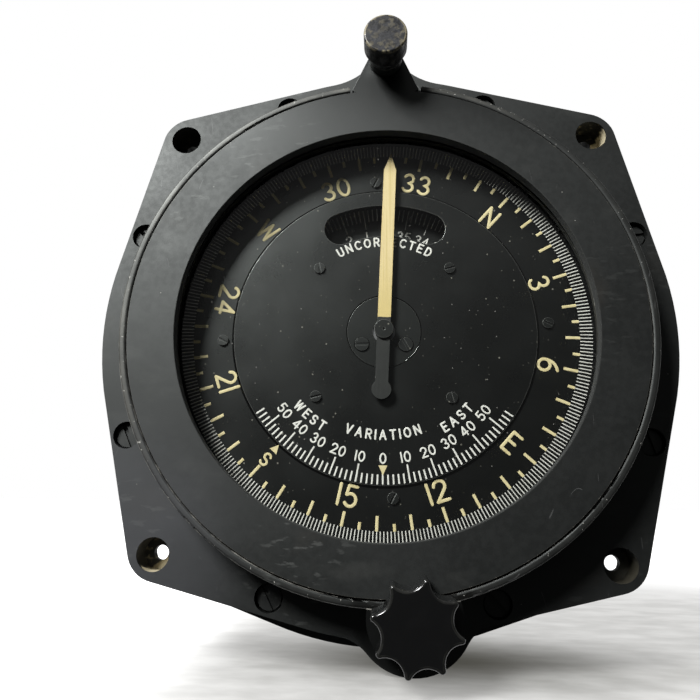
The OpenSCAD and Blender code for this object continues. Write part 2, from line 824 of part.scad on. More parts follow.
module centre_dial() color(dial_black) upright() slab(z_dial_back, z_dial) difference() {
    circle(centre_r);
    circle(hub_plate_r + run_play);
    window_outline();
    around(4, dial_screw_r, 45) circle(small_screw[2] + thread_play);
}

module centre_dial_screws() color(steel) upright() around(4, dial_screw_r, 45)
    translate([0, 0, z_dial]) screw(small_screw, centre_dial_t + spider_t - tip_gap, dial_screw_turn);

module dial_spider() color(alloy) upright() slab(z_spider_back, z_dial_back) difference() {
    circle(dial_screw_r + spider_rim_w);
    circle(tube_r);
    around(4, spider_hole_reach) circle(spider_hole_r);
    around(4, dial_screw_r, 45) circle(small_screw[2] + thread_play);
    for (s = [-1, 1]) at_bearing(s * hub_screw_a, hub_screw_r) circle(small_screw[2] + thread_play);
}

module hub_plate() color(dial_black) upright() slab(z_dial_back, z_dial_back + hub_plate_t) difference() {
    circle(hub_plate_r);
    circle(hub_hole_r);
    for (s = [-1, 1]) at_bearing(s * hub_screw_a, hub_screw_r) circle(small_screw[2] + thread_play);
}

module hub_plate_screws() color(dial_black) upright() for (s = [-1, 1])
    at_bearing(s * hub_screw_a, hub_screw_r) translate([0, 0, z_dial_back + hub_plate_t])
        screw(hub_screw, hub_plate_t + spider_t - tip_gap, dial_screw_turn);

module dial_support_tube() color(steel) upright() {
    slab(z_middle_back, z_dial_back) annulus(train_shaft_r + run_play, tube_r);
    slab(z_middle, z_collar) annulus(tube_r, tube_r + tube_collar_w);
}

// Variation card

module variation_card() color(dial_black) upright() slab(z_card_back, z_card) difference() {
    annulus(card_in_r, card_out_r);
    around(4, card_screw_r, card_turn + 45) circle(small_screw[2] + thread_play);
}

module card_screws() color(dial_black) upright() around(4, card_screw_r, card_turn + 45)
    translate([0, 0, z_card]) screw(small_screw, card_t + carrier_t + card_thread_l, dial_screw_turn);

module card_gear_ring() color(brass) upright() difference() {
    union() {
        slab(z_gear_back, z_gear) gear_outline(card_teeth, card_module, knob_line);
        slab(z_gear - cut, z_card_back) circle(card_out_r - carrier_inset);
    }
    slab(z_gear_back - cut, z_card_back + cut) {
        circle(land_r + run_play);
        around(4, card_screw_r, card_turn + 45) circle(small_screw[2] + thread_play);
        around(ring_hole_count, ring_hole_reach, 180 / ring_hole_count) circle(ring_hole_r);
    }
}

// Knob

module knob_outline() {
    lobe_reach = knob_tip_r - knob_lobe_r;
    half = 180 / knob_lobes;
    flute_reach = lobe_reach * cos(half)
        + sqrt((knob_lobe_r + knob_flute_r) ^ 2 - (lobe_reach * sin(half)) ^ 2);
    around(knob_lobes, lobe_reach) circle(knob_lobe_r);
    for (i = [0 : knob_lobes - 1]) rotate(i * 2 * half) difference() {
        polygon([[0, 0], lobe_reach * [sin(2 * half), cos(2 * half)],
            flute_reach * [sin(half), cos(half)], [0, lobe_reach]]);
        translate(flute_reach * [sin(half), cos(half)]) circle(knob_flute_r + blend_lap);
    }
}

module variation_knob() color("#0e0e0e") upright() at_knob() difference() {
    union() {
        slab(z_knob_back, z_knob) rotate(-knob_turn) knob_outline();
        slab(z_knob_foot, z_knob_back + cut) circle(knob_foot_r);
    }
    slab(z_knob_foot - cut, z_knob - knob_face_t) circle(knob_shaft_r);
    translate([0, 0, z_set_screw]) rotate([90, 0, set_screw_turn])
        cylinder(h = knob_tip_r + cut, r = set_screw_r);
}

module knob_set_screw() color(steel) upright() at_knob()
    translate([0, 0, z_set_screw]) rotate([90, 0, set_screw_turn])
        translate([0, 0, knob_shaft_r + set_screw_gap]) difference() {
            cylinder(h = set_screw_l, r = set_screw_r - thread_play);
            translate([-set_screw_slot_w / 2, -set_screw_r - cut, set_screw_l - set_screw_slot])
                cube([set_screw_slot_w, 2 * (set_screw_r + cut), set_screw_slot + cut]);
        }

module knob_shaft() color(steel) upright() at_knob() difference() {
    slab(z_shaft_end, z_knob - knob_face_t) circle(knob_shaft_r);
    slab(z_clip - clip_t, z_clip) annulus(knob_shaft_r - clip_groove, knob_shaft_r + cut);
}

module knob_bushing() color(brass) upright() at_knob()
    slab(z_pocket, z_bush) annulus(knob_shaft_r + run_play, bush_r);

module knob_pinion() color(brass) upright() at_knob() slab(z_knob_pinion_back, z_knob_pinion) difference() {
    gear_outline(knob_teeth, card_module, knob_line + 180 + 180 / knob_teeth);
    circle(knob_shaft_r);
}

module knob_clip() color(steel) upright() at_knob() slab(z_clip - clip_t, z_clip) difference() {
    annulus(knob_shaft_r - clip_groove, knob_shaft_r - clip_groove + clip_w);
    translate([-knob_shaft_r / 2, 0]) square([knob_shaft_r, 2 * knob_shaft_r]);
}

// Uncorrected-heading card and its gear

module uncorrected_card() color("#26282a") upright()
    slab(z_heading - heading_card_t, z_heading) annulus(sleeve_r, heading_card_r);

module card_sleeve() color(brass) upright() {
    slab(z_sleeve_back, z_heading) annulus(tube_r + run_play, sleeve_r);
    slab(z_heading - heading_card_t - heading_stiffener_t, z_heading - heading_card_t)
        annulus(sleeve_r, sleeve_r + heading_stiffener_w);
}

module spoked_gear(first, bore) difference() {
    gear_outline(main_teeth, train_module, first);
    circle(bore);
    around(spoke_count, main_r * spoke_reach_share) circle(main_r * spoke_hole_share);
}

module main_gear() color(brass) upright()
    slab(z_main_back, z_main) spoked_gear(90 - lay_bearing, sleeve_r);

// Pointer

module pointer_outline() {
    shoulder = pointer_reach - pointer_point_l;
    tail_y = -(tail_reach - tail_end_r);
    tail_half = pointer_tip_w / 2;
    polygon([[pointer_w / 2, 0], [pointer_tip_w / 2, shoulder], [0, pointer_reach],
        [-pointer_tip_w / 2, shoulder], [-pointer_w / 2, 0], [-tail_half, tail_y], [tail_half, tail_y]]);
    translate([0, tail_y]) circle(tail_end_r);
    circle(hub_r);
}

module pointer_blade() color(cream) upright() rotate(-pointer_turn)
    slab(z_pointer - pointer_t, z_pointer) difference() {
        pointer_outline();
        circle(hub_stem_r);
    }

module pointer_hub() color(dial_black) upright() difference() {
    union() {
        slab(z_hub_foot, z_pointer - pointer_t) circle(hub_r);
        slab(z_pointer - pointer_t, z_pointer) circle(hub_stem_r);
        slab(z_pointer, z_hub_top) circle(hub_r);
    }
    slab(z_hub_foot - cut, z_pointer) circle(train_shaft_r);
    slab(z_pointer - cut, z_hub_top + cut) circle(hub_centre_r);
}

module pointer_shaft() color(steel) upright()
    slab(z_rear_back - pointer_shaft_in, z_pointer) circle(train_shaft_r);

module pointer_gear() color(brass) upright() {
    slab(z_pointer_gear_back, z_pointer_gear) spoked_gear(90 - lay_bearing, train_shaft_r);
    slab(z_pointer_gear_back - gear_hub_t, z_pointer_gear_back) annulus(train_shaft_r, gear_hub_r);
}

// Layshaft, motor and transmitter

module layshaft() color(steel) upright() at_bearing(lay_bearing, lay_reach)
    slab(z_rear_back + shaft_end_gap, z_case - shaft_end_gap) circle(train_shaft_r);

module train_pinion(bearing, gear_mid, bore) {
    facing = 180 + 180 / pinion_teeth;
    at_bearing(bearing, lay_reach)
        slab(gear_mid - train_pinion_t / 2, gear_mid + train_pinion_t / 2) difference() {
            gear_outline(pinion_teeth, train_module, 90 + facing);
            circle(bore);
        }
}

module layshaft_pinions() color(brass) upright() {
    train_pinion(lay_bearing, (z_main + z_main_back) / 2, train_shaft_r);
    train_pinion(lay_bearing, (z_pointer_gear + z_pointer_gear_back) / 2, train_shaft_r);
}

module motor_pinion() color(brass) upright()
    train_pinion(motor_bearing, (z_pointer_gear + z_pointer_gear_back) / 2, motor_shaft_r);

module motor_shaft() color(steel) upright() at_bearing(motor_bearing, lay_reach)
    slab(z_rear_back - motor_shaft_in, z_pointer_gear + motor_shaft_out) circle(motor_shaft_r);

module drive_motor() color("#3b3f42") upright() at_bearing(motor_bearing, lay_reach) difference() {
    union() {
        slab(z_rear_back - motor_l, z_rear_back) circle(motor_r);
        slab(z_rear_back - cut, z_rear) circle(motor_boss_r);
    }
    slab(z_rear_back - motor_shaft_in - shaft_end_gap, z_rear + cut) circle(motor_shaft_r + run_play);
}

module heading_transmitter() color("#3b3f42") upright() difference() {
    union() {
        slab(z_rear_back - transmitter_l, z_rear_back) circle(transmitter_r);
        slab(z_rear_back - transmitter_lip_t, z_rear_back) circle(transmitter_r + transmitter_lip_w);
    }
    slab(z_rear_back - pointer_shaft_in - shaft_end_gap, z_rear_back + cut)
        circle(train_shaft_r + run_play);
}

// Lamp

module lamp_holder() color(enamel) upright() at_lamp() difference() {
    union() {
        slab(z_holder_foot, z_plate) circle(lamp_bore_r - thread_play);
        slab(z_plate, z_post) circle(lamp_post_r);
        slab(z_post, z_spigot) circle(spigot_r);
    }
    slab(z_holder_foot - cut, z_spigot + cut) circle(base_r + run_play);
}

module lamp_bulb() color("#dfe6e8", 0.5) upright() at_lamp() rotate_extrude() {
    translate([0, z_bulb_tip + bulb_r]) square([bulb_r, z_bulb_neck - z_bulb_tip - bulb_r]);
    intersection() {
        translate([0, z_bulb_tip + bulb_r]) circle(bulb_r);
        translate([0, z_bulb_tip]) square([bulb_r, bulb_r]);
    }
}

module bulb_base() color(brass) upright() at_lamp() {
    slab(z_bulb_neck, z_spigot) circle(base_r);
    slab(z_spigot, z_spigot + base_flange_t) circle(base_flange_r);
}

module lamp_cap() color(enamel) upright() at_lamp() difference() {
    rotate_extrude() polygon([[0, z_cap_skirt], [lamp_post_r, z_cap_skirt], [lamp_cap_r, z_cap_side],
        [lamp_cap_r, z_cap - cap_edge], [lamp_cap_r - cap_edge, z_cap], [0, z_cap]]);
    slab(z_cap_skirt - cut, z_cap - cap_face_t) circle(spigot_r + run_play);
}

module lamp_contact() color(brass) upright() at_lamp()
    slab(z_spigot + base_flange_t + contact_gap, z_cap - cap_face_t) circle(contact_r);

bezel_casting();
bezel_plate();
bezel_screws();
cover_glass();
glass_gasket();
glass_retaining_ring();
flange_screws();
flange_gasket();
case_flange();
rear_case();
rear_cover();
rear_cover_screws();
receptacle_shell();
receptacle_insert();
receptacle_pins();
receptacle_screws();
front_frame_plate();
frame_plate_screws();
middle_frame_plate();
rear_frame_plate();
frame_pillars();
pillar_screws();
card_bearing_ring();
bearing_ring_screws();
centre_dial();
centre_dial_screws();
dial_spider();
hub_plate();
hub_plate_screws();
dial_support_tube();
drive_motor();
heading_transmitter();
knob_bushing();
lamp_holder();
lamp_bulb();
bulb_base();
variation_card();
card_screws();
card_gear_ring();
variation_knob();
knob_set_screw();
knob_shaft();
knob_pinion();
knob_clip();
uncorrected_card();
card_sleeve();
main_gear();
pointer_blade();
pointer_hub();
pointer_shaft();
pointer_gear();
layshaft();
layshaft_pinions();
motor_shaft();
motor_pinion();
lamp_cap();
lamp_contact();
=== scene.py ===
"""Aircraft compass: the finishes, the dial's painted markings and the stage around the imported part."""

import json
import math

import bmesh
import bpy
from mathutils import Matrix, Vector


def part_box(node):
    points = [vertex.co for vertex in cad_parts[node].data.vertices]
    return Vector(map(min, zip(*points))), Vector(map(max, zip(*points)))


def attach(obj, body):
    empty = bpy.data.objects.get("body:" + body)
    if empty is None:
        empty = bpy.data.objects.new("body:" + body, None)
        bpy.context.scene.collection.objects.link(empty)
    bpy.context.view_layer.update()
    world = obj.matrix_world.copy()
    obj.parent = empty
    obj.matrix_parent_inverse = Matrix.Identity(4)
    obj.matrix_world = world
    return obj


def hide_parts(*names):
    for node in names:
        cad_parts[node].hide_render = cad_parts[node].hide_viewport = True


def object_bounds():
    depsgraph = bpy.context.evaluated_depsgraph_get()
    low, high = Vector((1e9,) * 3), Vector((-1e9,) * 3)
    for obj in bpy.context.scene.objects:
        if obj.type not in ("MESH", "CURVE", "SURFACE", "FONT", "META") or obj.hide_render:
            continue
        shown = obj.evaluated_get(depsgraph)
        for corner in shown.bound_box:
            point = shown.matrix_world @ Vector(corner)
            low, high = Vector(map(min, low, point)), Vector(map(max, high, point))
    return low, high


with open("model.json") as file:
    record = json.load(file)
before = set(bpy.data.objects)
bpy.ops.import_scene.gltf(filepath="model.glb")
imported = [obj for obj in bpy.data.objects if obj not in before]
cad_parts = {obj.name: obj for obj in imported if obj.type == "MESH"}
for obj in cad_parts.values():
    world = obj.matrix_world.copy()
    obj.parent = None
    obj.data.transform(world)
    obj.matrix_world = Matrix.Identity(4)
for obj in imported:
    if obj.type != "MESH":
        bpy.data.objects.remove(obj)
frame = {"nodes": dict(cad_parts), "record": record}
CAD_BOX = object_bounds()
NODES = frame["nodes"]
NODE_BODY = {node: body for body, nodes in frame["record"]["behaviour"]["bodies"].items() for node in nodes}

# The dial plan is in millimetres: x to the right, y up and z towards the reader. Bearings and turns are in
# degrees, clockwise from the top.
MM = 0.001
DIAL_TO_FRAME = Matrix.Rotation(math.radians(90), 4, "X") @ Matrix.Scale(MM, 4)


def front_of(node):
    """How far forward a node reaches, in the dial plan."""
    return -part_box(node)[0].y / MM


def metres(lengths):
    """Millimetres as metres."""
    return [length * MM for length in lengths]


# Turns of the two cards and the pointer at rest.
CARD_TURN = 41.6
HEADING_TURN = 0.5
POINTER_TURN = 1.8

# Radii on the variation card. An arrow has its foot, its tip and half its width.
CARD_TICK_OUT = 59.6
CARD_TICK_IN = 56.0
CARD_FIVE_IN = 54.0
CARD_TEN_IN = 51.9
CARD_NUMERAL_REACH = 47.6
CARD_SOUTH_REACH = 49.6
CARD_SOUTH_ARROW = (46.6, 44.2, 1.3)
QUARTERS = {0: "N", 90: "E", 180: "S", 270: "W"}

# Radii on the centre dial, half the angle of its scale, and the last number on it.
SCALE_OUT = 43.5
SCALE_MINOR_IN = 40.8
SCALE_MAJOR_IN = 38.5
SCALE_NUMERAL_REACH = 36.4
SCALE_HALF = 56
SCALE_LAST = 50
SCALE_ARROW = (38.3, 41.1, 1.2)

# Words on the centre dial: reach, bearing and half the angle they take up.
DIAL_WORDS = {
    "WEST": (32.4, 219.6, 7.5),
    "EAST": (32.4, 140.4, 7.5),
    "VARIATION": (29.9, 180, 18.6),
    "UNCORRECTED": (27.6, 0, 28.2),
}

# Radii on the card behind the window.
WINDOW_TICK_OUT = 41.5
WINDOW_TICK_IN = 37.5
WINDOW_TEN_IN = 34.9
WINDOW_NUMERAL_REACH = 32.65

# Heights and stroke widths of the painted characters and ticks. The gaps are shares of a letter's height, and
# the paint stands out by a share of half its stroke's width.
CARD_NUMERAL_H = 6.5
CARD_NUMERAL_W = 0.95
CARD_SOUTH_H = 4.2
CARD_SOUTH_W = 0.75
SCALE_NUMERAL_H = 3.1
SCALE_NUMERAL_W = 0.5
WORD_H = 3.0
WORD_W = 0.56
WINDOW_NUMERAL_H = 3.2
LETTER_GAP = 0.125
ARC_LETTER_GAP = 0.45
TEN_TICK_W = 0.9
DEGREE_TICK_W = 0.32
SCALE_TICK_W = 0.5
WINDOW_TICK_W = 0.3
PAINT_FLATNESS = 0.1

# The step in degrees between the points of a curve, and the turns of the points on a stroke's round end.
ARC_STEP = 15
END_TURNS = (30, 60, 82)

# The pointer is dark at the hub and cream from here to its tip, deeper near the hub, with a brushed end.
POINTER_CREAM = (3.55, 3.75)
POINTER_DEEPER = (26, 4)
POINTER_BRUSH = (-0.2, 0.2)

# Places where the enamel differs: bolt seats, bare on the lit side, the drum's rim with painted highlights,
# the opening's wall, the knob's boss and the tongue with painted shade, the corner with painted sheen and the
# handled side. A pair is where a place starts and where it is full, except for the corner's middle.
BOLT_HALF = 63.5
BOLT_SEAT_R = 4.65
BOLT_SEAT_EDGE = 0.15
SEAT_LIT_SIDE = (-0.5, 4.5)
SEAT_WORN_DEPTH = (0.2, 0.7)
RIM_MID_R = 73.35
RIM_HALF = 1.1
RIM_FOOT = 10.8
RIM_CROWN = 3.2
RIM_CREST_OUT = 0.2
RIM_CREST_HALF = 0.3
RIM_HIGHLIGHT_SIDE = (0, 100)
RIM_CHIP_SIDE = (-120, 100)
RIM_LINE = (0.8, 0.95)
RIM_LINE_END = 1.15
RIM_LINE_DEPTH = (-10.6, -10.9)
RIM_LINE_HEIGHT = (30, -20)
OPENING_R = 58.45
OPENING_FADE = (0.3, 0.1)
KNOB_BEARING = 173.8
KNOB_REACH = 77.0
KNOB_BOSS_R = 16.0
KNOB_BOSS_FADE = (2, -1)
TONGUE = (46, 76)
SHEEN_CORNER = (-75, -62)
SHEEN_REACH = (46, 8)
HANDLED_SIDE = (40, -30)

# Painted shade as dark lines where gaps would be: where they start and where they are full, beyond a piece's
# edge.
CARD_GROOVE_SHADE = (0.75, 0.55)
HUB_GROOVE_SHADE = (0.35, 0.2)
SCREW_GAP_SHADE = (0.3, 0.15)

# The tint of the gloss on black paint, and how the glass reflects.
COOL_TINT = (0.95, 1.0, 0.97, 1)
GLASS_IOR = 1.45
GLASS_REFLECTION = 1.8

# Lamp cap.
CAP_SIDE_H = 6.3
CAP_EDGE = 0.6
CAP_BAND = 0.7
CAP_BORE_R = 4.05
CAP_KNURLS = 60
CAP_KNURL_DEPTH = 0.14
CAP_TOUCHING = 0.01
CAP_SMOOTH_ANGLE = 28
CAP_FACE_FADE = (1.4, 0.4)
CAP_RIM_FADE = (-0.8, -0.45)
CAP_PATCH_SHARES = (0.2, 0.9)

# Shaping: closer points are merged, in copies of solids and in new shapes, flatter edges are dissolved and
# sharper ones are rounded. A radius above FULL_ROUND gets more segments.
CAD_MERGE = 0.05
MADE_MERGE = 0.001
FLAT_ANGLE = 0.5
SHARP_ANGLE = 35
SMOOTH_ANGLE = 40
FULL_ROUND = 0.5
FULL_ROUND_SEGMENTS = 5
EDGE_SEGMENTS = 2


# Characters, drawn by their centre lines in a box one high: each has its width and its strokes.


def arc(x, y, across, up, start, end):
    """Points on an ellipse, from one angle to another, in degrees anticlockwise from the right."""
    steps = max(4, round(abs(end - start) / ARC_STEP))
    angles = [math.radians(start + (end - start) * i / steps) for i in range(steps + 1)]
    return [(x + across * math.cos(a), y + up * math.sin(a)) for a in angles]


SIX = [arc(0.62, 0.36, 0.62, 0.66, 105, 180), arc(0.29, 0.3, 0.29, 0.3, 90, 450)]
CHARACTERS = {
    "0": (0.58, [arc(0.29, 0.5, 0.29, 0.5, 90, 450)]),
    "1": (0.0, [[(0, 0), (0, 1)]]),
    "2": (0.56, [arc(0.28, 0.72, 0.28, 0.28, 170, -38) + [(0, 0)], [(0, 0), (0.58, 0)]]),
    "3": (0.56, [arc(0.28, 0.75, 0.24, 0.25, 155, -90) + arc(0.28, 0.25, 0.28, 0.25, 90, -155)[1:]]),
    "4": (0.62, [[(0.46, 0), (0.46, 1)], [(0.46, 1), (0, 0.28)], [(0, 0.28), (0.62, 0.28)]]),
    "5": (0.56, [[(0.5, 1), (0.1, 1)], [(0.1, 1), (0.05, 0.55)], arc(0.27, 0.31, 0.29, 0.31, 128, -145)]),
    "6": (0.58, SIX),
    "7": (0.56, [[(0, 1), (0.56, 1)], [(0.56, 1), (0.18, 0)]]),
    "8": (0.56, [arc(0.28, 0.76, 0.23, 0.24, 90, 450), arc(0.28, 0.26, 0.28, 0.26, 90, 450)]),
    "9": (0.58, [[(0.58 - x, 1 - y) for x, y in stroke] for stroke in SIX]),
    "A": (0.66, [[(0, 0), (0.33, 1)], [(0.33, 1), (0.66, 0)], [(0.13, 0.34), (0.53, 0.34)]]),
    "C": (0.6, [arc(0.36, 0.5, 0.36, 0.5, 48, 312)]),
    "D": (0.58, [[(0, 0), (0, 1)], [(0, 1), (0.2, 1)] + arc(0.2, 0.5, 0.38, 0.5, 90, -90) + [(0, 0)]]),
    "E": (0.5, [[(0, 0), (0, 1)], [(0, 1), (0.5, 1)], [(0, 0.52), (0.42, 0.52)], [(0, 0), (0.5, 0)]]),
    "I": (0.0, [[(0, 0), (0, 1)]]),
    "N": (0.6, [[(0, 0), (0, 1)], [(0, 1), (0.6, 0)], [(0.6, 0), (0.6, 1)]]),
    "O": (0.68, [arc(0.34, 0.5, 0.34, 0.5, 90, 450)]),
    "R": (0.54, [[(0, 0), (0, 1)], [(0, 1), (0.28, 1)] + arc(0.28, 0.74, 0.26, 0.26, 90, -90) + [(0, 0.48)],
                 [(0.26, 0.48), (0.54, 0)]]),
    "S": (0.56, [arc(0.28, 0.75, 0.26, 0.25, 25, 270) + arc(0.28, 0.25, 0.28, 0.25, 90, -155)[1:]]),
    "T": (0.58, [[(0, 1), (0.58, 1)], [(0.29, 1), (0.29, 0)]]),
    "U": (0.58, [[(0, 1)] + arc(0.29, 0.29, 0.29, 0.29, 180, 360) + [(0.58, 1)]]),
    "V": (0.64, [[(0, 1), (0.32, 0)], [(0.32, 0), (0.64, 1)]]),
    "W": (0.86, [[(0, 1), (0.21, 0)], [(0.21, 0), (0.43, 0.95)], [(0.43, 0.95), (0.65, 0)],
                 [(0.65, 0), (0.86, 1)]]),
}


def at_bearing(bearing, reach):
    """A place on the dial."""
    return Vector((math.sin(math.radians(bearing)), math.cos(math.radians(bearing)))) * reach


def figure(text, height, width, reach, bearing, turn):
    """A word or number on one straight line, centred on a place of the dial and turned clockwise."""
    size = height - width
    gap = width + LETTER_GAP * height
    length = sum(CHARACTERS[c][0] * size + gap for c in text) - gap
    right, up = at_bearing(turn + 90, 1), at_bearing(turn, 1)
    corner = at_bearing(bearing, reach) - right * length / 2 - up * size / 2
    strokes = []
    for character in text:
        wide, lines = CHARACTERS[character]
        for line in lines:
            points = [corner + right * x * size + up * y * size for x, y in line]
            strokes.append((points, width, True))
        corner += right * (wide * size + gap)
    return strokes


def word_on_arc(text, reach, bearing, half):
    """Letters along an arc, half an angle to each side of the bearing, their tops in on the lower half."""
    wide = [CHARACTERS[c][0] for c in text]
    places = [0.0]
    for a, b in zip(wide, wide[1:]):
        places.append(places[-1] + (a + b) / 2 + ARC_LETTER_GAP)
    side, turn = (-1, 180) if 90 < bearing < 270 else (1, 0)
    strokes = []
    for character, place in zip(text, places):
        at = bearing + side * half * (2 * place / places[-1] - 1)
        strokes += figure(character, WORD_H, WORD_W, reach, at, at + turn)
    return strokes


def tick(bearing, inner, outer, width):
    """One radial line of a scale."""
    return [at_bearing(bearing, inner), at_bearing(bearing, outer)], width, False


def rounded_ends(points, width):
    """A stroke's points with the width at each, run out to a half round at both ends unless it closes."""
    if (points[0] - points[-1]).length < width / 10:
        return [(p, width) for p in points[:-1]]
    first = (points[0] - points[1]).normalized() * width / 2
    last = (points[-1] - points[-2]).normalized() * width / 2
    turns = [math.radians(a) for a in END_TURNS]
    start = [(points[0] + first * math.sin(a), width * math.cos(a)) for a in reversed(turns)]
    end = [(points[-1] + last * math.sin(a), width * math.cos(a)) for a in turns]
    return start + [(p, width) for p in points] + end


def painted(name, body, finish, level, strokes):
    """Paint strokes on the face at that level, as one low mesh that rides on a body."""
    curve = bpy.data.curves.new(name, "CURVE")
    curve.dimensions = "3D"
    # At this depth a point's radius is the stroke's whole width there.
    curve.bevel_depth = 0.5
    curve.bevel_resolution = 2
    curve.use_fill_caps = True
    for points, width, rounded in strokes:
        path = rounded_ends(points, width) if rounded else [(p, width) for p in points]
        spline = curve.splines.new("POLY")
        spline.use_cyclic_u = rounded and len(path) < len(points)
        spline.points.add(len(path) - 1)
        for place, (point, size) in zip(spline.points, path):
            place.co = (point.x, point.y, 0, 1)
            place.radius = size
    drawn = bpy.data.objects.new(name + "_line", curve)
    bpy.context.scene.collection.objects.link(drawn)
    mesh = bpy.data.meshes.new_from_object(drawn.evaluated_get(bpy.context.evaluated_depsgraph_get()))
    bpy.data.objects.remove(drawn)
    flat = Matrix.Diagonal((1, 1, PAINT_FLATNESS, 1))
    mesh.transform(DIAL_TO_FRAME @ Matrix.Translation((0, 0, level)) @ flat)
    piece(name, mesh, body, finish)


def arrow(name, body, finish, level, bearing, foot, tip, half):
    """A painted triangle from a foot radius to a tip radius."""
    bm = bmesh.new()
    across = at_bearing(bearing + 90, half)
    middle = at_bearing(bearing, foot)
    corners = [middle - across, middle + across, at_bearing(bearing, tip)]
    face = bm.faces.new([bm.verts.new((c.x, c.y, level - half * PAINT_FLATNESS)) for c in corners])
    raised = bmesh.ops.extrude_face_region(bm, geom=[face])["geom"]
    lifted = [v for v in raised if isinstance(v, bmesh.types.BMVert)]
    bmesh.ops.translate(bm, verts=lifted, vec=(0, 0, 2 * half * PAINT_FLATNESS))
    modelled(name, bm, body, finish, DIAL_TO_FRAME)


# Pieces.


def piece(name, mesh, body, finish):
    """An object for a finished mesh, at the origin, on its body."""
    made = bpy.data.objects.new(name, mesh)
    bpy.context.scene.collection.objects.link(made)
    mesh.materials.clear()
    mesh.materials.append(finish)
    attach(made, body)
    return made


def modelled(name, bm, body, finish, place=Matrix.Identity(4)):
    """A piece from a bmesh, with its doubles merged and its faces outwards."""
    bmesh.ops.transform(bm, matrix=place, verts=bm.verts)
    bmesh.ops.remove_doubles(bm, verts=bm.verts, dist=MADE_MERGE * MM)
    bmesh.ops.recalc_face_normals(bm, faces=bm.faces)
    mesh = bpy.data.meshes.new(name)
    bm.to_mesh(mesh)
    bm.free()
    return piece(name, mesh, body, finish)


def shade_soft(made, sharp_angle):
    """Smooth shading that keeps the flats flat."""
    made.data.shade_smooth()
    made.data.set_sharp_from_angle(angle=math.radians(sharp_angle))
    weighted = made.modifiers.new("Flats", "WEIGHTED_NORMAL")
    weighted.keep_sharp = True


def crown_rim(bm):
    """Flatten the drum's round rim to the worn crown of the real one, without raising its top."""
    for v in bm.verts:
        side = abs(math.hypot(v.co.x, v.co.z) / MM - RIM_MID_R) / RIM_HALF
        if -v.co.y / MM > RIM_FOOT and side < 1:
            v.co.y = -(RIM_FOOT + RIM_HALF * (1 - side ** RIM_CROWN) ** (1 / RIM_CROWN)) * MM


def soften(node, finish, slot, round_r):
    """A copy of a CAD node with its sharp edges rounded. The rounded faces carry the attribute edge."""
    full_round = round_r > FULL_ROUND
    segments = FULL_ROUND_SEGMENTS if full_round else EDGE_SEGMENTS
    bm = bmesh.new()
    bm.from_mesh(NODES[node].data)
    worn = bm.faces.layers.float.new("edge")
    bmesh.ops.remove_doubles(bm, verts=bm.verts, dist=CAD_MERGE * MM)
    bmesh.ops.dissolve_limit(bm, angle_limit=math.radians(FLAT_ANGLE), verts=bm.verts, edges=bm.edges)
    if node == "bezel_casting":
        crown_rim(bm)
    limit = math.radians(SHARP_ANGLE)
    sharp = [e for e in bm.edges if len(e.link_faces) == 2 and e.calc_face_angle() > limit]
    rounded = bmesh.ops.bevel(bm, geom=sharp, offset=round_r * MM, offset_type="OFFSET", segments=segments,
                              profile=0.5, affect="EDGES", clamp_overlap=not full_round, material=-1)
    for face in rounded["faces"]:
        face[worn] = 1.0
    mesh = bpy.data.meshes.new(node + "_finished")
    bm.to_mesh(mesh)
    bm.free()
    made = piece(node + "_finished", mesh, NODE_BODY[node], finish)
    shade_soft(made, SMOOTH_ANGLE)
    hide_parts(node)


def lamp_cap(finish):
    """The lamp cap, turned and straight-knurled, open at the back for the post's spigot."""
    low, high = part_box("lamp_cap")
    radius = (high.x - low.x) / 2 / MM
    middle = (high.z + low.z) / 2 / MM
    skirt, face = -high.y / MM, -low.y / MM
    ceiling = front_of("lamp_contact")
    post_low, post_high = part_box("lamp_holder")
    skirt_r = (post_high.x - post_low.x) / 2 / MM
    side = face - CAP_SIDE_H
    knurl = (side + CAP_BAND, face - CAP_EDGE - CAP_BAND)
    corner = arc(radius - CAP_EDGE, face - CAP_EDGE, CAP_EDGE, CAP_EDGE, 0, 90)
    profile = [(0, ceiling), (CAP_BORE_R, ceiling), (CAP_BORE_R, skirt), (skirt_r, skirt), (radius, side),
               (radius, side + CAP_BAND / 2), (radius, knurl[0]), (radius, knurl[1])] + corner + [(0, face)]
    bm = bmesh.new()
    points = [bm.verts.new((r, 0, z)) for r, z in profile]
    edges = [bm.edges.new(pair) for pair in zip(points, points[1:])]
    bmesh.ops.spin(bm, geom=points + edges, cent=(0, 0, 0), axis=(0, 0, 1), angle=math.tau,
                   steps=2 * CAP_KNURLS, use_merge=True)
    half_step = math.pi / CAP_KNURLS
    for v in bm.verts:
        in_band = any(abs(v.co.z - z) < CAP_TOUCHING for z in knurl)
        if in_band and round(math.atan2(v.co.y, v.co.x) / half_step) % 2:
            v.co.xy *= 1 - CAP_KNURL_DEPTH / radius
    made = modelled("lamp_cap_knurled", bm, "lamp_cap", finish,
                    DIAL_TO_FRAME @ Matrix.Translation((0, middle, 0)))
    shade_soft(made, CAP_SMOOTH_ANGLE)
    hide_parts("lamp_cap")


# Finishes.


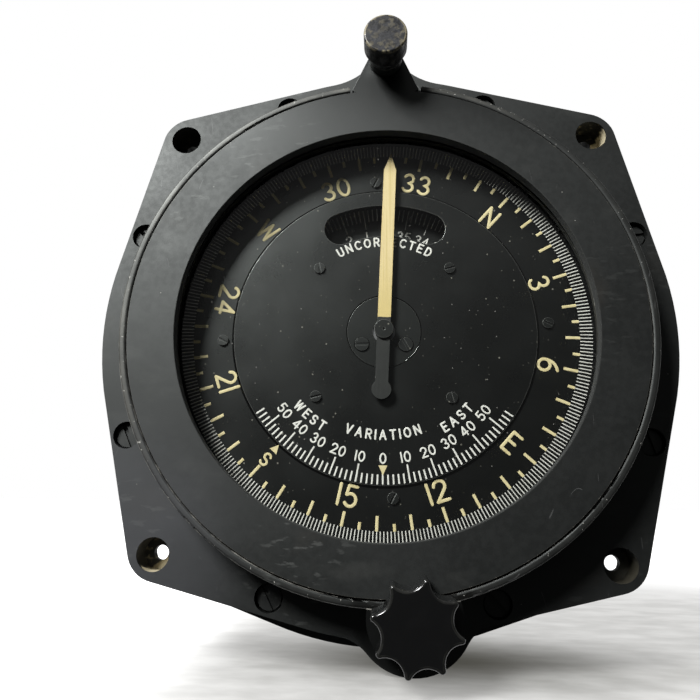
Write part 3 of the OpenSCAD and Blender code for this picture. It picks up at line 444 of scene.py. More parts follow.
class Graph:
    """A node tree, wired by calls."""

    def __init__(self, tree):
        self.tree = tree
        tree.nodes.clear()

    def add(self, kind, inputs=None, **settings):
        """A node with its settings, and its inputs given as numbers or as other nodes' outputs."""
        node = self.tree.nodes.new("ShaderNode" + kind)
        for name, value in settings.items():
            setattr(node, name, value)
        for name, value in (inputs or {}).items():
            if isinstance(value, bpy.types.NodeSocket):
                self.tree.links.new(value, node.inputs[name])
            else:
                node.inputs[name].default_value = value
        return node

    def axes(self, vector):
        """The three parts of a vector."""
        parts = self.add("SeparateXYZ", {"Vector": vector}).outputs
        return parts["X"], parts["Y"], parts["Z"]

    def math(self, operation, a, b=0.0):
        """One step of arithmetic."""
        return self.add("Math", {0: a, 1: b}, operation=operation).outputs["Value"]

    def plus(self, a, b):
        return self.math("ADD", a, b)

    def minus(self, a, b):
        return self.math("SUBTRACT", a, b)

    def times(self, first, *others):
        """The product of all the values."""
        for other in others:
            first = self.math("MULTIPLY", first, other)
        return first

    def far_from(self, a, b):
        """The distance between two values."""
        return self.math("ABSOLUTE", self.minus(a, b))

    def length(self, a, b):
        """The length of a vector with these two parts."""
        return self.math("SQRT", self.plus(self.times(a, a), self.times(b, b)))

    def ramp(self, value, start, end):
        """0 at start, 1 at end, smooth between them."""
        inputs = {"Value": value, "From Min": start, "From Max": end}
        return self.add("MapRange", inputs, interpolation_type="SMOOTHSTEP").outputs["Result"]

    def fade(self, value, edge, offsets):
        """0 and 1 at two offsets in millimetres from an edge in metres, smooth between them."""
        return self.ramp(value, *[edge + offset for offset in metres(offsets)])

    def span(self, value, low, high, start=0.0, end=1.0):
        """low at start, high at end, straight between them."""
        inputs = {"Value": value, "From Min": start, "From Max": end, "To Min": low, "To Max": high}
        return self.add("MapRange", inputs).outputs["Result"]


class Finish(Graph):
    """One material, wired from the piece's own coordinates to its shader."""

    def __init__(self, name):
        self.material = bpy.data.materials.new(name)
        self.material.use_nodes = True
        super().__init__(self.material.node_tree)
        self.place = self.add("TexCoord").outputs["Object"]
        # Metres to the right, behind the flange's front face and up.
        self.x, self.depth, self.z = self.axes(self.place)

    def moved(self, turn, scale=(1, 1, 1)):
        """The coordinates turned and stretched."""
        turned = [math.radians(a) for a in turn]
        inputs = {"Vector": self.place, "Rotation": turned, "Scale": scale}
        return self.add("Mapping", inputs).outputs["Vector"]

    def noise(self, scale, detail=3.0, place=None):
        """Noise with that many waves to the metre."""
        inputs = {"Vector": place or self.place, "Scale": scale, "Detail": detail}
        return self.add("TexNoise", inputs).outputs["Fac"]

    def streaks(self, detail, turn, scale):
        """Noise drawn out by the stretch of the coordinates."""
        return self.noise(1.0, detail, self.moved(turn, scale))

    def off_axis(self, x=0.0, z=0.0):
        """The distance from a line parallel to the dial's axis."""
        return self.length(self.minus(self.x, x), self.minus(self.z, z))

    def mix(self, share, under, over):
        """One colour over another."""
        return self.add("MixRGB", {"Fac": share, "Color1": under, "Color2": over}).outputs["Color"]

    def layered(self, colour, *layers):
        """The colour under layers, each with its mask, its strength and its tone."""
        for mask, strength, tone in layers:
            colour = self.mix(self.times(mask, strength), colour, tone)
        return colour

    def placed(self, colour, rough, places):
        """The colour and the roughness, with others at some places."""
        for where, tone, matt in places:
            share = where(self)
            colour = self.mix(share, colour, tone)
            rough = self.mix(share, rough, grey(matt))
        return colour, rough

    def specks(self, scale, size, share):
        """Dust: small dots in that share of the cells of a loose grid."""
        cells = self.add("TexVoronoi", {"Vector": self.place, "Scale": scale})
        chance = self.add("SeparateColor", {"Color": cells.outputs["Color"]}).outputs["Red"]
        dot = self.ramp(cells.outputs["Distance"], size, size / 2)
        return self.times(dot, self.math("LESS_THAN", chance, share))

    def scratches(self, scale, slant, width, kept):
        """Hairlines: the thin level lines of a stretched noise, broken by a second one."""
        lines = self.noise(scale, 1.0, self.moved((0, slant, 0), (1, 1, 0.25)))
        broken = self.ramp(self.noise(scale * 3, 2.0), kept, kept + 0.05)
        return self.times(self.ramp(self.far_from(lines, 0.5), width, 0.0), broken)

    def crossed_scratches(self, scales, slants, width, kept):
        """Hairlines in two directions."""
        return self.math("MAXIMUM", *[self.scratches(scale, slant, width, kept)
                                      for scale, slant in zip(scales, slants)])

    def edge(self):
        """1 on the rounded edges of a softened piece."""
        return self.add("Attribute", attribute_name="edge").outputs["Fac"]

    def shader(self, inputs, height=None, depth=0.0):
        """The surface, with a bump of that depth in millimetres."""
        if height is not None:
            bump = self.add("Bump", {"Height": height, "Distance": depth * MM, "Strength": 1.0})
            inputs = {**inputs, "Normal": bump.outputs["Normal"]}
        surface = self.add("BsdfPrincipled", inputs)
        self.add("OutputMaterial", {"Surface": surface.outputs["BSDF"]})
        return self.material


def grey(level):
    """A colour with three equal parts."""
    return (level, level, level, 1)


def black_enamel(name, *places):
    """Satin black instrument enamel: mottled, rubbed, scuffed, chipped along the edges."""
    f = Finish(name)
    cloud = f.ramp(f.noise(45, 5.0), 0.3, 0.7)
    grain = f.ramp(f.noise(620, 6.0), 0.35, 0.65)
    smear = f.ramp(f.streaks(6.0, (0, -35, 0), (60, 60, 130)), 0.55, 0.75)
    stain = f.ramp(f.noise(28, 6.0), 0.58, 0.72)
    scuff = f.times(f.ramp(f.streaks(5.0, (0, 40, 0), (170, 170, 520)), 0.58, 0.66),
                    f.ramp(f.noise(26, 2.0), 0.5, 0.6))
    handled = f.span(f.ramp(f.x, *metres(HANDLED_SIDE)), 0.07, 0.3)
    hair = f.crossed_scratches((38, 52), (30, -50), 0.0014, 0.58)
    chip = f.times(f.edge(), f.ramp(f.noise(900, 3.0), 0.58, 0.64))
    colour = f.layered(f.mix(cloud, (0.0004, 0.0005, 0.00045, 1), (0.0016, 0.0018, 0.0017, 1)),
                       (smear, 0.2, (0.05, 0.051, 0.047, 1)),
                       (stain, 0.25, (0.03, 0.023, 0.016, 1)),
                       (scuff, handled, (0.11, 0.114, 0.108, 1)),
                       (hair, 0.5, grey(0.09)),
                       (f.edge(), 0.4, (0.07, 0.067, 0.058, 1)),
                       (chip, 0.6, (0.2, 0.19, 0.165, 1)),
                       (f.specks(300, 0.07, 0.14), 0.6, (0.24, 0.235, 0.21, 1)))
    polish = f.plus(f.plus(f.times(cloud, 0.5), f.times(grain, 0.3)), f.times(smear, 0.2))
    colour, rough = f.placed(colour, f.span(polish, 0.61, 0.45), places)
    inputs = {"Base Color": colour, "Roughness": rough, "Specular IOR Level": 0.54,
              "Specular Tint": COOL_TINT}
    return f.shader(inputs, f.noise(1900, 2.0), 0.005)


# Places where a finish differs. Each gives 1 at the place and 0 elsewhere.


def bolt_seats(f):
    """Bare bolt-seat walls, most at two corners, kept to the lit lower right: wear and painted highlight."""
    across, up = [f.minus(axis, f.times(f.math("SIGN", axis), BOLT_HALF * MM)) for axis in (f.x, f.z)]
    inside = f.math("LESS_THAN", f.length(across, up), (BOLT_SEAT_R + BOLT_SEAT_EDGE) * MM)
    # Bare metal kept to the lower right walls, which face the key light: partly painted highlight.
    lit_side = f.ramp(f.minus(across, up), *metres(SEAT_LIT_SIDE))
    bare = f.ramp(f.plus(f.noise(420, 4.0), f.times(lit_side, 0.35)), 0.55, 0.75)
    worn_pair = f.math("GREATER_THAN", f.math("ABSOLUTE", f.plus(f.x, f.z)), BOLT_HALF * MM)
    sunk = f.ramp(f.depth, *metres(SEAT_WORN_DEPTH))
    return f.times(inside, bare, f.span(worn_pair, 0.08, 1.0), sunk)


def rubbed_corner(f):
    """Painted sheen: the lower left corner made paler, unevenly."""
    near = f.ramp(f.off_axis(*metres(SHEEN_CORNER)), *metres(SHEEN_REACH))
    return f.times(near, f.span(f.noise(70, 5.0), 0.3, 1.0))


def on_rim(f):
    """The crest of the drum's rim, fading to its two sides."""
    off = f.far_from(f.off_axis(), (RIM_MID_R + RIM_CREST_OUT) * MM)
    raised = f.math("LESS_THAN", f.depth, -RIM_FOOT * MM)
    return f.times(f.ramp(off, RIM_HALF * MM, RIM_CREST_HALF * MM), raised)


def rim_rub(f):
    """Enamel rubbed thin along the rim, unevenly, most at the lit upper left: wear and painted highlight."""
    upper_left = f.span(f.ramp(f.minus(f.z, f.x), *metres(RIM_HIGHLIGHT_SIDE)), 0.05, 1.0)
    uneven = f.span(f.ramp(f.noise(130, 5.0), 0.35, 0.65), 0.35, 1.0)
    return f.times(on_rim(f), uneven, upper_left)


def rim_edges(f):
    """Two thin pale lines on the inner and outer edges of the rim's lower half: wear and painted highlight.
    """
    off = f.far_from(f.off_axis(), RIM_MID_R * MM)
    line = f.ramp(off, *metres(RIM_LINE))
    near = f.math("LESS_THAN", off, RIM_LINE_END * MM)
    raised = f.ramp(f.depth, *metres(RIM_LINE_DEPTH))
    lower = f.ramp(f.z, *metres(RIM_LINE_HEIGHT))
    worn = f.span(f.ramp(f.noise(240, 5.0), 0.4, 0.6), 0.15, 1.0)
    return f.times(line, near, raised, lower, worn)


def rim_chips(f):
    """Tiny chips along the rim, most of them at the upper left."""
    upper_left = f.ramp(f.minus(f.z, f.x), *metres(RIM_CHIP_SIDE))
    loose = f.plus(f.noise(1000, 3.0), f.times(upper_left, 0.06))
    return f.times(on_rim(f), f.ramp(loose, 0.7, 0.74))


def opening_wall(f):
    """The wall of the opening in front of the glass."""
    return f.fade(f.off_axis(), OPENING_R * MM, OPENING_FADE)


def knob_boss(f):
    """Round the knob, where the enamel is smooth and plain dark: painted shade."""
    x, z = at_bearing(KNOB_BEARING, KNOB_REACH) * MM
    return f.fade(f.off_axis(x, z), KNOB_BOSS_R * MM, KNOB_BOSS_FADE)


def tongue(f):
    """The tongue under the lamp, smooth and plain dark up towards the lamp: painted shade."""
    return f.ramp(f.z, *metres(TONGUE))


def card_groove(f):
    """Painted shade: the strip of the card beside the centre dial, dark like a gap in shadow."""
    return f.fade(f.off_axis(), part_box("centre_dial")[1].x, CARD_GROOVE_SHADE)


def hub_groove(f):
    """Painted shade: the thin dark line round the hub plate."""
    return f.fade(f.off_axis(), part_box("hub_plate")[1].x, HUB_GROOVE_SHADE)


def screw_gaps(f):
    """Painted shade: dark rings round the hub plate's two screws, where their gaps would be."""
    low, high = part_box("hub_plate_screws")
    head_r = (high.z - low.z) / 2
    left, right = [f.off_axis(x, (low.z + high.z) / 2) for x in (low.x + head_r, high.x - head_r)]
    return f.fade(f.math("MINIMUM", left, right), head_r, SCREW_GAP_SHADE)


# The other finishes.


def dial_paint(name, base, *places, rough=0.285, spec=1.0):
    """Black dial paint under glass, hazy in places, with fine dust and pale edges as painted highlight."""
    f = Finish(name)
    cloud = f.ramp(f.noise(55, 4.0), 0.3, 0.7)
    haze = f.ramp(f.streaks(5.0, (0, 20, 0), (45, 45, 90)), 0.6, 0.8)
    dust = f.math("MAXIMUM", f.specks(280, 0.09, 0.75), f.times(f.specks(640, 0.12, 0.3), 0.6))
    dark, light = [(base * r, base * g, base * b, 1) for r, g, b in ((0.8, 0.9, 0.85), (1.3, 1.45, 1.35))]
    colour = f.layered(f.mix(cloud, dark, light),
                       (haze, 0.04, (0.03, 0.031, 0.028, 1)),
                       # Pale edges: painted highlight.
                       (f.edge(), 0.6, (0.12, 0.122, 0.115, 1)),
                       (dust, 0.6, (0.25, 0.24, 0.2, 1)))
    colour, uneven = f.placed(colour, f.span(cloud, rough + 0.02, rough - 0.02), places)
    inputs = {"Base Color": colour, "Roughness": uneven, "Specular IOR Level": spec,
              "Specular Tint": COOL_TINT}
    return f.shader(inputs, f.noise(1500, 2.0), 0.003)


def marking_paint(name, colour, aged):
    """Hand-filled marking paint, a little uneven and stained."""
    f = Finish(name)
    tone = f.layered(colour, (f.ramp(f.noise(420, 4.0), 0.45, 0.75), 0.6, aged))
    inputs = {"Base Color": tone, "Roughness": 0.6, "Specular IOR Level": 0.25}
    return f.shader(inputs, f.noise(1800, 3.0), 0.02)


def pointer_paint():
    """Cream along the blade in long brush marks, dark round the hub and on the tail, brown edges as painted
    shade.
    """
    f = Finish("pointer_paint")
    upright = (0, -POINTER_TURN, 0)
    height = f.axes(f.moved(upright))[2]
    streak = f.streaks(3.0, upright, (1500, 1500, 25))
    cream = f.mix(f.ramp(streak, 0.4, 0.75), (0.68, 0.56, 0.3, 1), (0.58, 0.46, 0.2, 1))
    cream = f.mix(f.ramp(height, *metres(POINTER_DEEPER)), cream, (0.6, 0.48, 0.205, 1))
    # Brown edges: painted shade of the blade's rounded sides.
    cream = f.layered(cream, (f.edge(), 0.45, (0.36, 0.25, 0.1, 1)))
    dark = f.mix(f.noise(300, 3.0), (0.014, 0.0155, 0.014, 1), (0.024, 0.0255, 0.024, 1))
    brushed_end = f.plus(height, f.span(f.noise(700), *metres(POINTER_BRUSH)))
    creamy = f.ramp(brushed_end, *metres(POINTER_CREAM))
    inputs = {"Base Color": f.mix(creamy, dark, cream), "Roughness": 0.5, "Specular IOR Level": 0.3}
    return f.shader(inputs, streak, 0.03)


def gloss_black(name):
    """Polished black moulding with fine rubbing marks, its paler edges partly wear, partly painted
    reflection.
    """
    f = Finish(name)
    rub = f.noise(260, 5.0)
    colour = f.layered((0.004, 0.0041, 0.0042, 1),
                       (f.specks(420, 0.08, 0.12), 0.5, grey(0.12)),
                       # Paler edges: partly wear, partly painted reflection of the pale floor.
                       (f.edge(), f.span(f.ramp(rub, 0.4, 0.6), 0.05, 0.3), (0.03, 0.03, 0.026, 1)))
    rough = f.span(f.ramp(rub, 0.35, 0.75), 0.15, 0.24)
    return f.shader({"Base Color": colour, "Roughness": rough, "Specular IOR Level": 0.5}, rub, 0.003)


def worn_cap_paint():
    """Dark paint on the lamp cap: mottled, scratched, worn to old brass in patches and round its face."""
    f = Finish("worn_cap_paint")
    low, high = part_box("lamp_cap")
    out = f.off_axis(0.0, (low.z + high.z) / 2)
    near_face = f.fade(f.depth, low.y, CAP_FACE_FADE)
    to_rim = f.ramp(out, *[high.x * share for share in CAP_PATCH_SHARES])
    patch = f.times(f.ramp(f.noise(620, 8.0), 0.52, 0.6), f.span(to_rim, 0.3, 0.9))
    rim = f.times(f.fade(out, high.x, CAP_RIM_FADE), f.ramp(f.noise(480, 4.0), 0.42, 0.58))
    hair = f.crossed_scratches((160, 210), (25, -60), 0.004, 0.52)
    slate = f.mix(f.ramp(f.noise(700, 8.0), 0.4, 0.6),
                  (0.0006, 0.0007, 0.001, 1), (0.0125, 0.0134, 0.016, 1))
    side = f.mix(f.ramp(f.noise(600, 3.0), 0.4, 0.65),
                 (0.004, 0.0042, 0.0045, 1), (0.035, 0.035, 0.033, 1))
    brassy = f.mix(f.noise(900, 3.0), (0.025, 0.022, 0.014, 1), (0.12, 0.105, 0.065, 1))
    face = f.layered(f.mix(patch, slate, brassy), (hair, 0.6, (0.05, 0.052, 0.054, 1)))
    colour = f.mix(rim, f.mix(near_face, side, face), f.mix(near_face, side, (0.2, 0.175, 0.11, 1)))
    rough = f.span(f.ramp(f.noise(640, 8.0), 0.4, 0.6), 0.4, 0.7)
    inputs = {"Base Color": colour, "Roughness": rough, "Specular IOR Level": 0.4}
    return f.shader(inputs, f.noise(1300, 4.0), 0.012)


def turned_metal(name, bright, dark, rough):
    """Machined metal with tool marks and light tarnish."""
    f = Finish(name)
    marks = f.streaks(2.0, (0, 0, 0), (200, 4000, 200))
    colour = f.mix(f.ramp(f.noise(120, 4.0), 0.4, 0.75), bright, dark)
    uneven = f.span(marks, rough - 0.08, rough + 0.08)
    return f.shader({"Base Color": colour, "Roughness": uneven, "Metallic": 1.0}, marks, 0.01)


def moulded(name, bright, dark, rough):
    """Moulded or painted stuff with a fine grain: rubber, phenolic, grey enamel."""
    f = Finish(name)
    colour = f.mix(f.ramp(f.noise(140, 4.0), 0.35, 0.7), dark, bright)
    inputs = {"Base Color": colour, "Roughness": rough, "Specular IOR Level": 0.3}
    return f.shader(inputs, f.noise(900, 2.0), 0.03)


def clear_glass(name, dust_share):
    """Flat clear glass that shows by its reflections, with dust lying on it."""
    f = Finish(name)
    clear = f.add("BsdfTransparent", {"Color": (0.99, 0.995, 0.99, 1)})
    gloss = f.add("BsdfGlossy", {"Color": grey(1.0), "Roughness": 0.03})
    outside = f.span(f.add("NewGeometry").outputs["Backfacing"], GLASS_REFLECTION, 0.0)
    share = f.times(f.add("Fresnel", {"IOR": GLASS_IOR}).outputs["Fac"], outside)
    pane = f.add("MixShader", {0: share, 1: clear.outputs["BSDF"], 2: gloss.outputs["BSDF"]})
    speck = f.add("BsdfDiffuse", {"Color": (0.4, 0.39, 0.36, 1)})
    dust = f.times(f.specks(420, 0.075, dust_share), 0.5)
    dusty = f.add("MixShader", {0: dust, 1: pane.outputs["Shader"], 2: speck.outputs["BSDF"]})
    f.add("OutputMaterial", {"Surface": dusty.outputs["Shader"]})
    return f.material


# Each place has its mask, its tone and its roughness. The pale corner is painted sheen, the rim's rub and
# edge lines are partly wear and partly painted highlight, the smooth boss and tongue are painted shade, and
# the bare seats are wear kept to the lit side. A gap is painted shade, dark and smooth, which keeps the key
# light out of it.
PAINTED_SHEEN_CORNER = (rubbed_corner, (0.042, 0.0426, 0.048, 1), 0.52)
SHADED_SMOOTH_BOSS = (knob_boss, grey(0.0006), 0.36)
SHADED_SMOOTH_TONGUE = (tongue, grey(0.0006), 0.36)
RUBBED_RIM_AND_HIGHLIGHT = (rim_rub, (0.08, 0.077, 0.066, 1), 0.47)
RIM_EDGE_WEAR_AND_HIGHLIGHTS = (rim_edges, (0.2, 0.195, 0.175, 1), 0.5)
CHIPPED_RIM = (rim_chips, (0.3, 0.295, 0.27, 1), 0.7)
BARE_SEATS = (bolt_seats, (0.42, 0.37, 0.25, 1), 0.7)
DULL_WALL = (opening_wall, (0.01, 0.0102, 0.0095, 1), 0.95)
GAP_SHADE = (grey(0.0002), 0.06)

ENAMEL = black_enamel("black_enamel")
CAST_ENAMEL = black_enamel("black_enamel_casting", PAINTED_SHEEN_CORNER, SHADED_SMOOTH_BOSS, RUBBED_RIM_AND_HIGHLIGHT, RIM_EDGE_WEAR_AND_HIGHLIGHTS,
                           CHIPPED_RIM, BARE_SEATS)
PLATE_ENAMEL = black_enamel("black_enamel_plate", PAINTED_SHEEN_CORNER, SHADED_SMOOTH_TONGUE, DULL_WALL)
DIAL_BLACK = dial_paint("dial_black", 0.0003)
# The card, disc and hub paints carry painted shade as dark lines at their gaps.
CARD_BLACK = dial_paint("card_black", 0.0003, (card_groove, *GAP_SHADE))
DISC_BLACK = dial_paint("disc_black", 0.0003, (hub_groove, *GAP_SHADE))
HUB_BLACK = dial_paint("hub_black", 0.0045, (screw_gaps, *GAP_SHADE))
FITTING_BLACK = dial_paint("fitting_black", 0.004, rough=0.4, spec=0.45)
CREAM = marking_paint("cream_marking", (0.63, 0.55, 0.31, 1), (0.5, 0.42, 0.2, 1))
WHITE = marking_paint("white_marking", (0.68, 0.68, 0.63, 1), (0.5, 0.49, 0.43, 1))
FINE_WHITE = marking_paint("fine_marking", (0.6, 0.6, 0.555, 1), (0.44, 0.43, 0.375, 1))
KNOB_BLACK = gloss_black("knob_black")
BRASS = turned_metal("brass", (0.62, 0.45, 0.19, 1), (0.36, 0.25, 0.1, 1), 0.34)
ALLOY = turned_metal("alloy", (0.6, 0.61, 0.62, 1), grey(0.4), 0.38)
STEEL = turned_metal("steel", (0.42, 0.43, 0.44, 1), grey(0.24), 0.34)
RUBBER = moulded("gasket_rubber", grey(0.022), grey(0.014), 0.8)
PHENOLIC = moulded("insert_brown", (0.085, 0.045, 0.025, 1), (0.05, 0.028, 0.017, 1), 0.4)
MOTOR_GREY = moulded("motor_grey", (0.14, 0.15, 0.16, 1), (0.09, 0.095, 0.1, 1), 0.45)
COVER_GLASS = clear_glass("clear_glass", 0.16)
BULB_GLASS = clear_glass("bulb_glass", 0.0)

# Nodes whose edges are rounded: finish, material slot and edge radius.
SOFTENED = {
    "bezel_casting": (CAST_ENAMEL, "black_enamel", 0.35),
    "bezel_plate": (PLATE_ENAMEL, "black_enamel", 0.25),
    "glass_retaining_ring": (ENAMEL, "dial_black", 0.2),
    "case_flange": (ENAMEL, "black_enamel", 0.4),
    "rear_case": (ENAMEL, "black_enamel", 0.4),
    "rear_cover": (ENAMEL, "black_enamel", 0.4),
    "flange_screws": (ENAMEL, "black_enamel", 0.12),
    "lamp_holder": (ENAMEL, "black_enamel", 0.2),
    "centre_dial": (DISC_BLACK, "dial_black", 0.16),
    "hub_plate": (HUB_BLACK, "dial_black", 0.08),
    "hub_plate_screws": (FITTING_BLACK, "dial_black", 0.06),
    "card_screws": (FITTING_BLACK, "dial_black", 0.08),
    "centre_dial_screws": (FITTING_BLACK, "dial_black", 0.08),
    "pointer_blade": (pointer_paint(), "pointer_cream", 0.1),
    "pointer_hub": (FITTING_BLACK, "dial_black", 0.15),
    "variation_knob": (KNOB_BLACK, "knob_black", 0.75),
    "receptacle_shell": (ALLOY, "alloy", 0.3),
    "receptacle_screws": (STEEL, "steel", 0.1),
    "rear_cover_screws": (STEEL, "steel", 0.12),
    "receptacle_pins": (BRASS, "brass", 0.15),
}
for node, look in SOFTENED.items():
    soften(node, *look)
lamp_cap(worn_cap_paint())

# Nodes that stay as they are, by finish.
DRESSED = {
    CARD_BLACK: ["variation_card"],
    DIAL_BLACK: ["uncorrected_card", "card_bearing_ring"],
    COVER_GLASS: ["cover_glass"],
    BULB_GLASS: ["lamp_bulb"],
    RUBBER: ["glass_gasket", "flange_gasket"],
    PHENOLIC: ["receptacle_insert"],
    MOTOR_GREY: ["drive_motor", "heading_transmitter"],
    BRASS: ["frame_pillars", "knob_bushing", "bulb_base", "card_gear_ring", "knob_pinion",
            "card_sleeve", "main_gear", "pointer_gear", "layshaft_pinions", "motor_pinion", "lamp_contact"],
    ALLOY: ["front_frame_plate", "middle_frame_plate", "rear_frame_plate", "dial_spider"],
    STEEL: ["bezel_screws", "frame_plate_screws", "pillar_screws", "bearing_ring_screws", "dial_support_tube",
            "knob_set_screw", "knob_shaft", "knob_clip", "pointer_shaft", "layshaft", "motor_shaft"],
}
for finish, nodes in DRESSED.items():
    for node in nodes:
        NODES[node].data.materials.clear()
        NODES[node].data.materials.append(finish)

# Variation card: a degree scale with a number at every third ten, and letters at the quarters.
CARD_FACE = front_of("variation_card")
degree_ticks = [tick(CARD_TURN + a, CARD_TICK_IN, CARD_TICK_OUT, DEGREE_TICK_W) for a in range(360)]
painted("card_degree_ticks", "variation_card", FINE_WHITE, CARD_FACE, degree_ticks)
card_strokes = []
for a in range(0, 360, 5):
    inner = CARD_FIVE_IN if a % 10 else CARD_TEN_IN
    card_strokes.append(tick(CARD_TURN + a, inner, CARD_TICK_IN, TEN_TICK_W))
for a in range(0, 360, 30):
    quarter = QUARTERS.get(a)
    text = quarter or str(a // 10)
    small = quarter == "S"
    inward = not quarter and 90 < a < 270
    turn = CARD_TURN if quarter else CARD_TURN + a + (180 if inward else 0)
    height, width, reach = ((CARD_SOUTH_H, CARD_SOUTH_W, CARD_SOUTH_REACH) if small
                            else (CARD_NUMERAL_H, CARD_NUMERAL_W, CARD_NUMERAL_REACH))
    card_strokes += figure(text, height, width, reach, CARD_TURN + a, turn)
painted("card_numerals", "variation_card", CREAM, CARD_FACE, card_strokes)
arrow("card_south_arrow", "variation_card", CREAM, CARD_FACE, CARD_TURN + 180, *CARD_SOUTH_ARROW)

# Centre dial: the variation scale at the foot, and the words beside it and under the window.
DIAL_FACE = front_of("centre_dial")
dial_strokes = []
for a in range(-SCALE_HALF, SCALE_HALF + 1, 2):
    inner = SCALE_MINOR_IN if a % 10 else SCALE_MAJOR_IN
    dial_strokes.append(tick(180 + a, inner, SCALE_OUT, SCALE_TICK_W))
for a in range(-SCALE_LAST, SCALE_LAST + 1, 10):
    dial_strokes += figure(str(abs(a)), SCALE_NUMERAL_H, SCALE_NUMERAL_W, SCALE_NUMERAL_REACH, 180 + a, a)
for text, place in DIAL_WORDS.items():
    dial_strokes += word_on_arc(text, *place)
painted("dial_scale", "case", WHITE, DIAL_FACE, dial_strokes)
arrow("dial_scale_arrow", "case", CREAM, DIAL_FACE, 180, *SCALE_ARROW)

# Card behind the window: two-degree ticks, and tens of degrees that count to the left.
HEADING_FACE = front_of("uncorrected_card")
window_strokes = []
for a in range(0, 360, 2):
    inner = WINDOW_TICK_IN if a % 10 else WINDOW_TEN_IN
    window_strokes.append(tick(HEADING_TURN - a, inner, WINDOW_TICK_OUT, WINDOW_TICK_W))
for a in range(0, 360, 10):
    at = HEADING_TURN - a
    window_strokes += figure(str(a // 10), WINDOW_NUMERAL_H, SCALE_NUMERAL_W, WINDOW_NUMERAL_REACH, at, at)
painted("heading_scale", "heading_card", WHITE, HEADING_FACE, window_strokes)


# Stage, in metres: a pale floor under the part, one large key light from the upper left, and a dim room.

# The floor is mottled near the part and turns plain white between these places to the back, and to the left
# as a painted pool of light.
FLOOR_SIZE = 4.0
FLOOR_WHITE_BACK = (0.1, 0.32)
FLOOR_LIGHT_POOL_LEFT = (-0.035, -0.1)
FLOOR_MOTTLE = (60, 110, 60)

# The painted shadow under the part: its middle, its squeeze across and its reach.
SHADE_MIDDLE = 0.02
SHADE_SQUEEZE = 0.55
SHADE_REACH = 0.055

# The key light's direction, distance, strength and width in degrees.
KEY_FROM = Vector((-0.49, -0.635, 0.6))
KEY_DISTANCE = 1.4
KEY_STRENGTH = 6.9
KEY_ANGLE = 20.0

# The room's light in front, behind and above, the directions between which it changes, and the share of it
# that matt surfaces get.
FRONT_LIGHT = 0.038
BACK_LIGHT = 0.8
BACK_FADE = (-0.3, 0.6)
UPPER_LIGHT = 0.14
UPPER_FADE = (0.15, 0.8)
SOFT_SHARE = 0.75

# The camera, fitted to the photograph.
CAMERA_PLACE = Vector((0.000743, -0.184463, -0.047152))
CAMERA_AIM = Vector((-0.05588, 0.97347, 0.22187))
CAMERA_UP = Vector((-0.00593, -0.22254, 0.97491))
CAMERA_LENS = 33.36
CAMERA_NEAR = 0.005


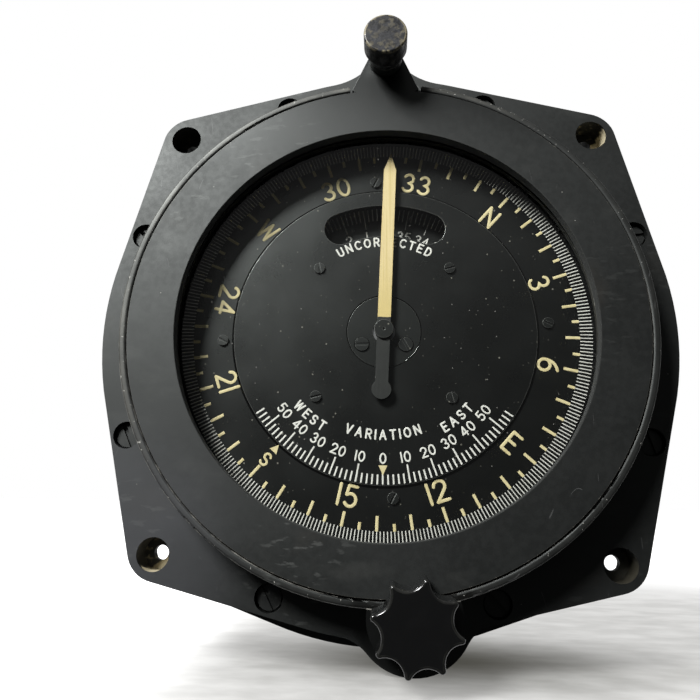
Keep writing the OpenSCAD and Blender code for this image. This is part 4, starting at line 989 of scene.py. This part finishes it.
def floor():
    """A pale floor at the part's lowest point, with a painted shadow under it and a painted pool of light at
    left.
    """
    bm = bmesh.new()
    bmesh.ops.create_grid(bm, x_segments=2, y_segments=2, size=FLOOR_SIZE)
    bmesh.ops.translate(bm, verts=bm.verts, vec=(0, 0, CAD_BOX[0].z))
    mesh = bpy.data.meshes.new("floor")
    bm.to_mesh(mesh)
    bm.free()
    f = Finish("floor_pale")
    white = f.math("MAXIMUM", f.ramp(f.depth, *FLOOR_WHITE_BACK), f.ramp(f.x, *FLOOR_LIGHT_POOL_LEFT))
    mottle = f.ramp(f.streaks(6.0, (0, 0, 0), FLOOR_MOTTLE), 0.25, 0.75)
    tone = f.mix(mottle, (0.1, 0.0995, 0.095, 1), (0.16, 0.1595, 0.155, 1))
    pale = f.mix(mottle, (0.56, 0.557, 0.545, 1), (0.68, 0.677, 0.665, 1))
    across = f.times(f.minus(f.x, SHADE_MIDDLE), SHADE_SQUEEZE)
    out = f.length(across, f.minus(f.depth, SHADE_MIDDLE))
    # Painted shadow: the floor's glow dims under the part.
    glow_and_painted_shadow = f.mix(f.ramp(out, 0.0, SHADE_REACH), (0.06, 0.058, 0.048, 1), pale)
    inputs = {"Base Color": f.mix(white, tone, grey(0.95)), "Roughness": 0.9, "Specular IOR Level": 0.1,
              "Emission Color": f.mix(white, glow_and_painted_shadow, grey(0.75)), "Emission Strength": 1.0}
    mesh.materials.append(f.shader(inputs))
    made = bpy.data.objects.new("floor", mesh)
    made.visible_glossy = made.visible_diffuse = False
    bpy.context.scene.collection.objects.link(made)


def key_light():
    """The light that gives the photograph's shadows."""
    light = bpy.data.lights.new("key", "AREA")
    light.shape = "DISK"
    light.size = 2 * KEY_DISTANCE * math.tan(math.radians(KEY_ANGLE / 2))
    light.energy = KEY_STRENGTH * math.pi * KEY_DISTANCE ** 2
    lamp = bpy.data.objects.new("key", light)
    lamp.location = KEY_FROM.normalized() * KEY_DISTANCE
    lamp.rotation_euler = KEY_FROM.to_track_quat("Z", "Y").to_euler()
    bpy.context.scene.collection.objects.link(lamp)


def room():
    """A dim room, lighter behind the part and above, that the camera sees as white."""
    world = bpy.data.worlds.new("room")
    world.use_nodes = True
    bpy.context.scene.world = world
    g = Graph(world.node_tree)
    _, back, up = g.axes(g.add("TexCoord").outputs["Generated"])
    behind = g.span(back, FRONT_LIGHT, BACK_LIGHT, *BACK_FADE)
    above = g.span(up, 0.0, UPPER_LIGHT, *UPPER_FADE)
    rays = g.add("LightPath").outputs
    soft = g.span(rays["Is Diffuse Ray"], 1.0, SOFT_SHARE)
    strength = g.times(g.plus(behind, above), soft)
    dim = g.add("Background", {"Color": grey(1.0), "Strength": strength}).outputs["Background"]
    white = g.add("Background", {"Color": grey(1.0)}).outputs["Background"]
    mixed = g.add("MixShader", {0: rays["Is Camera Ray"], 1: dim, 2: white})
    g.add("OutputWorld", {"Surface": mixed.outputs["Shader"]})


def camera():
    """The camera at the photograph's place."""
    lens = bpy.data.cameras.new("camera")
    lens.lens = CAMERA_LENS
    lens.clip_start = CAMERA_NEAR
    made = bpy.data.objects.new("camera", lens)
    right = CAMERA_AIM.cross(CAMERA_UP)
    turn = Matrix((right, CAMERA_UP, -CAMERA_AIM)).transposed().to_4x4()
    made.matrix_world = Matrix.Translation(CAMERA_PLACE) @ turn
    bpy.context.scene.collection.objects.link(made)
    bpy.context.scene.camera = made


floor()
key_light()
room()
camera()
bpy.context.scene.view_settings.view_transform = "Standard"
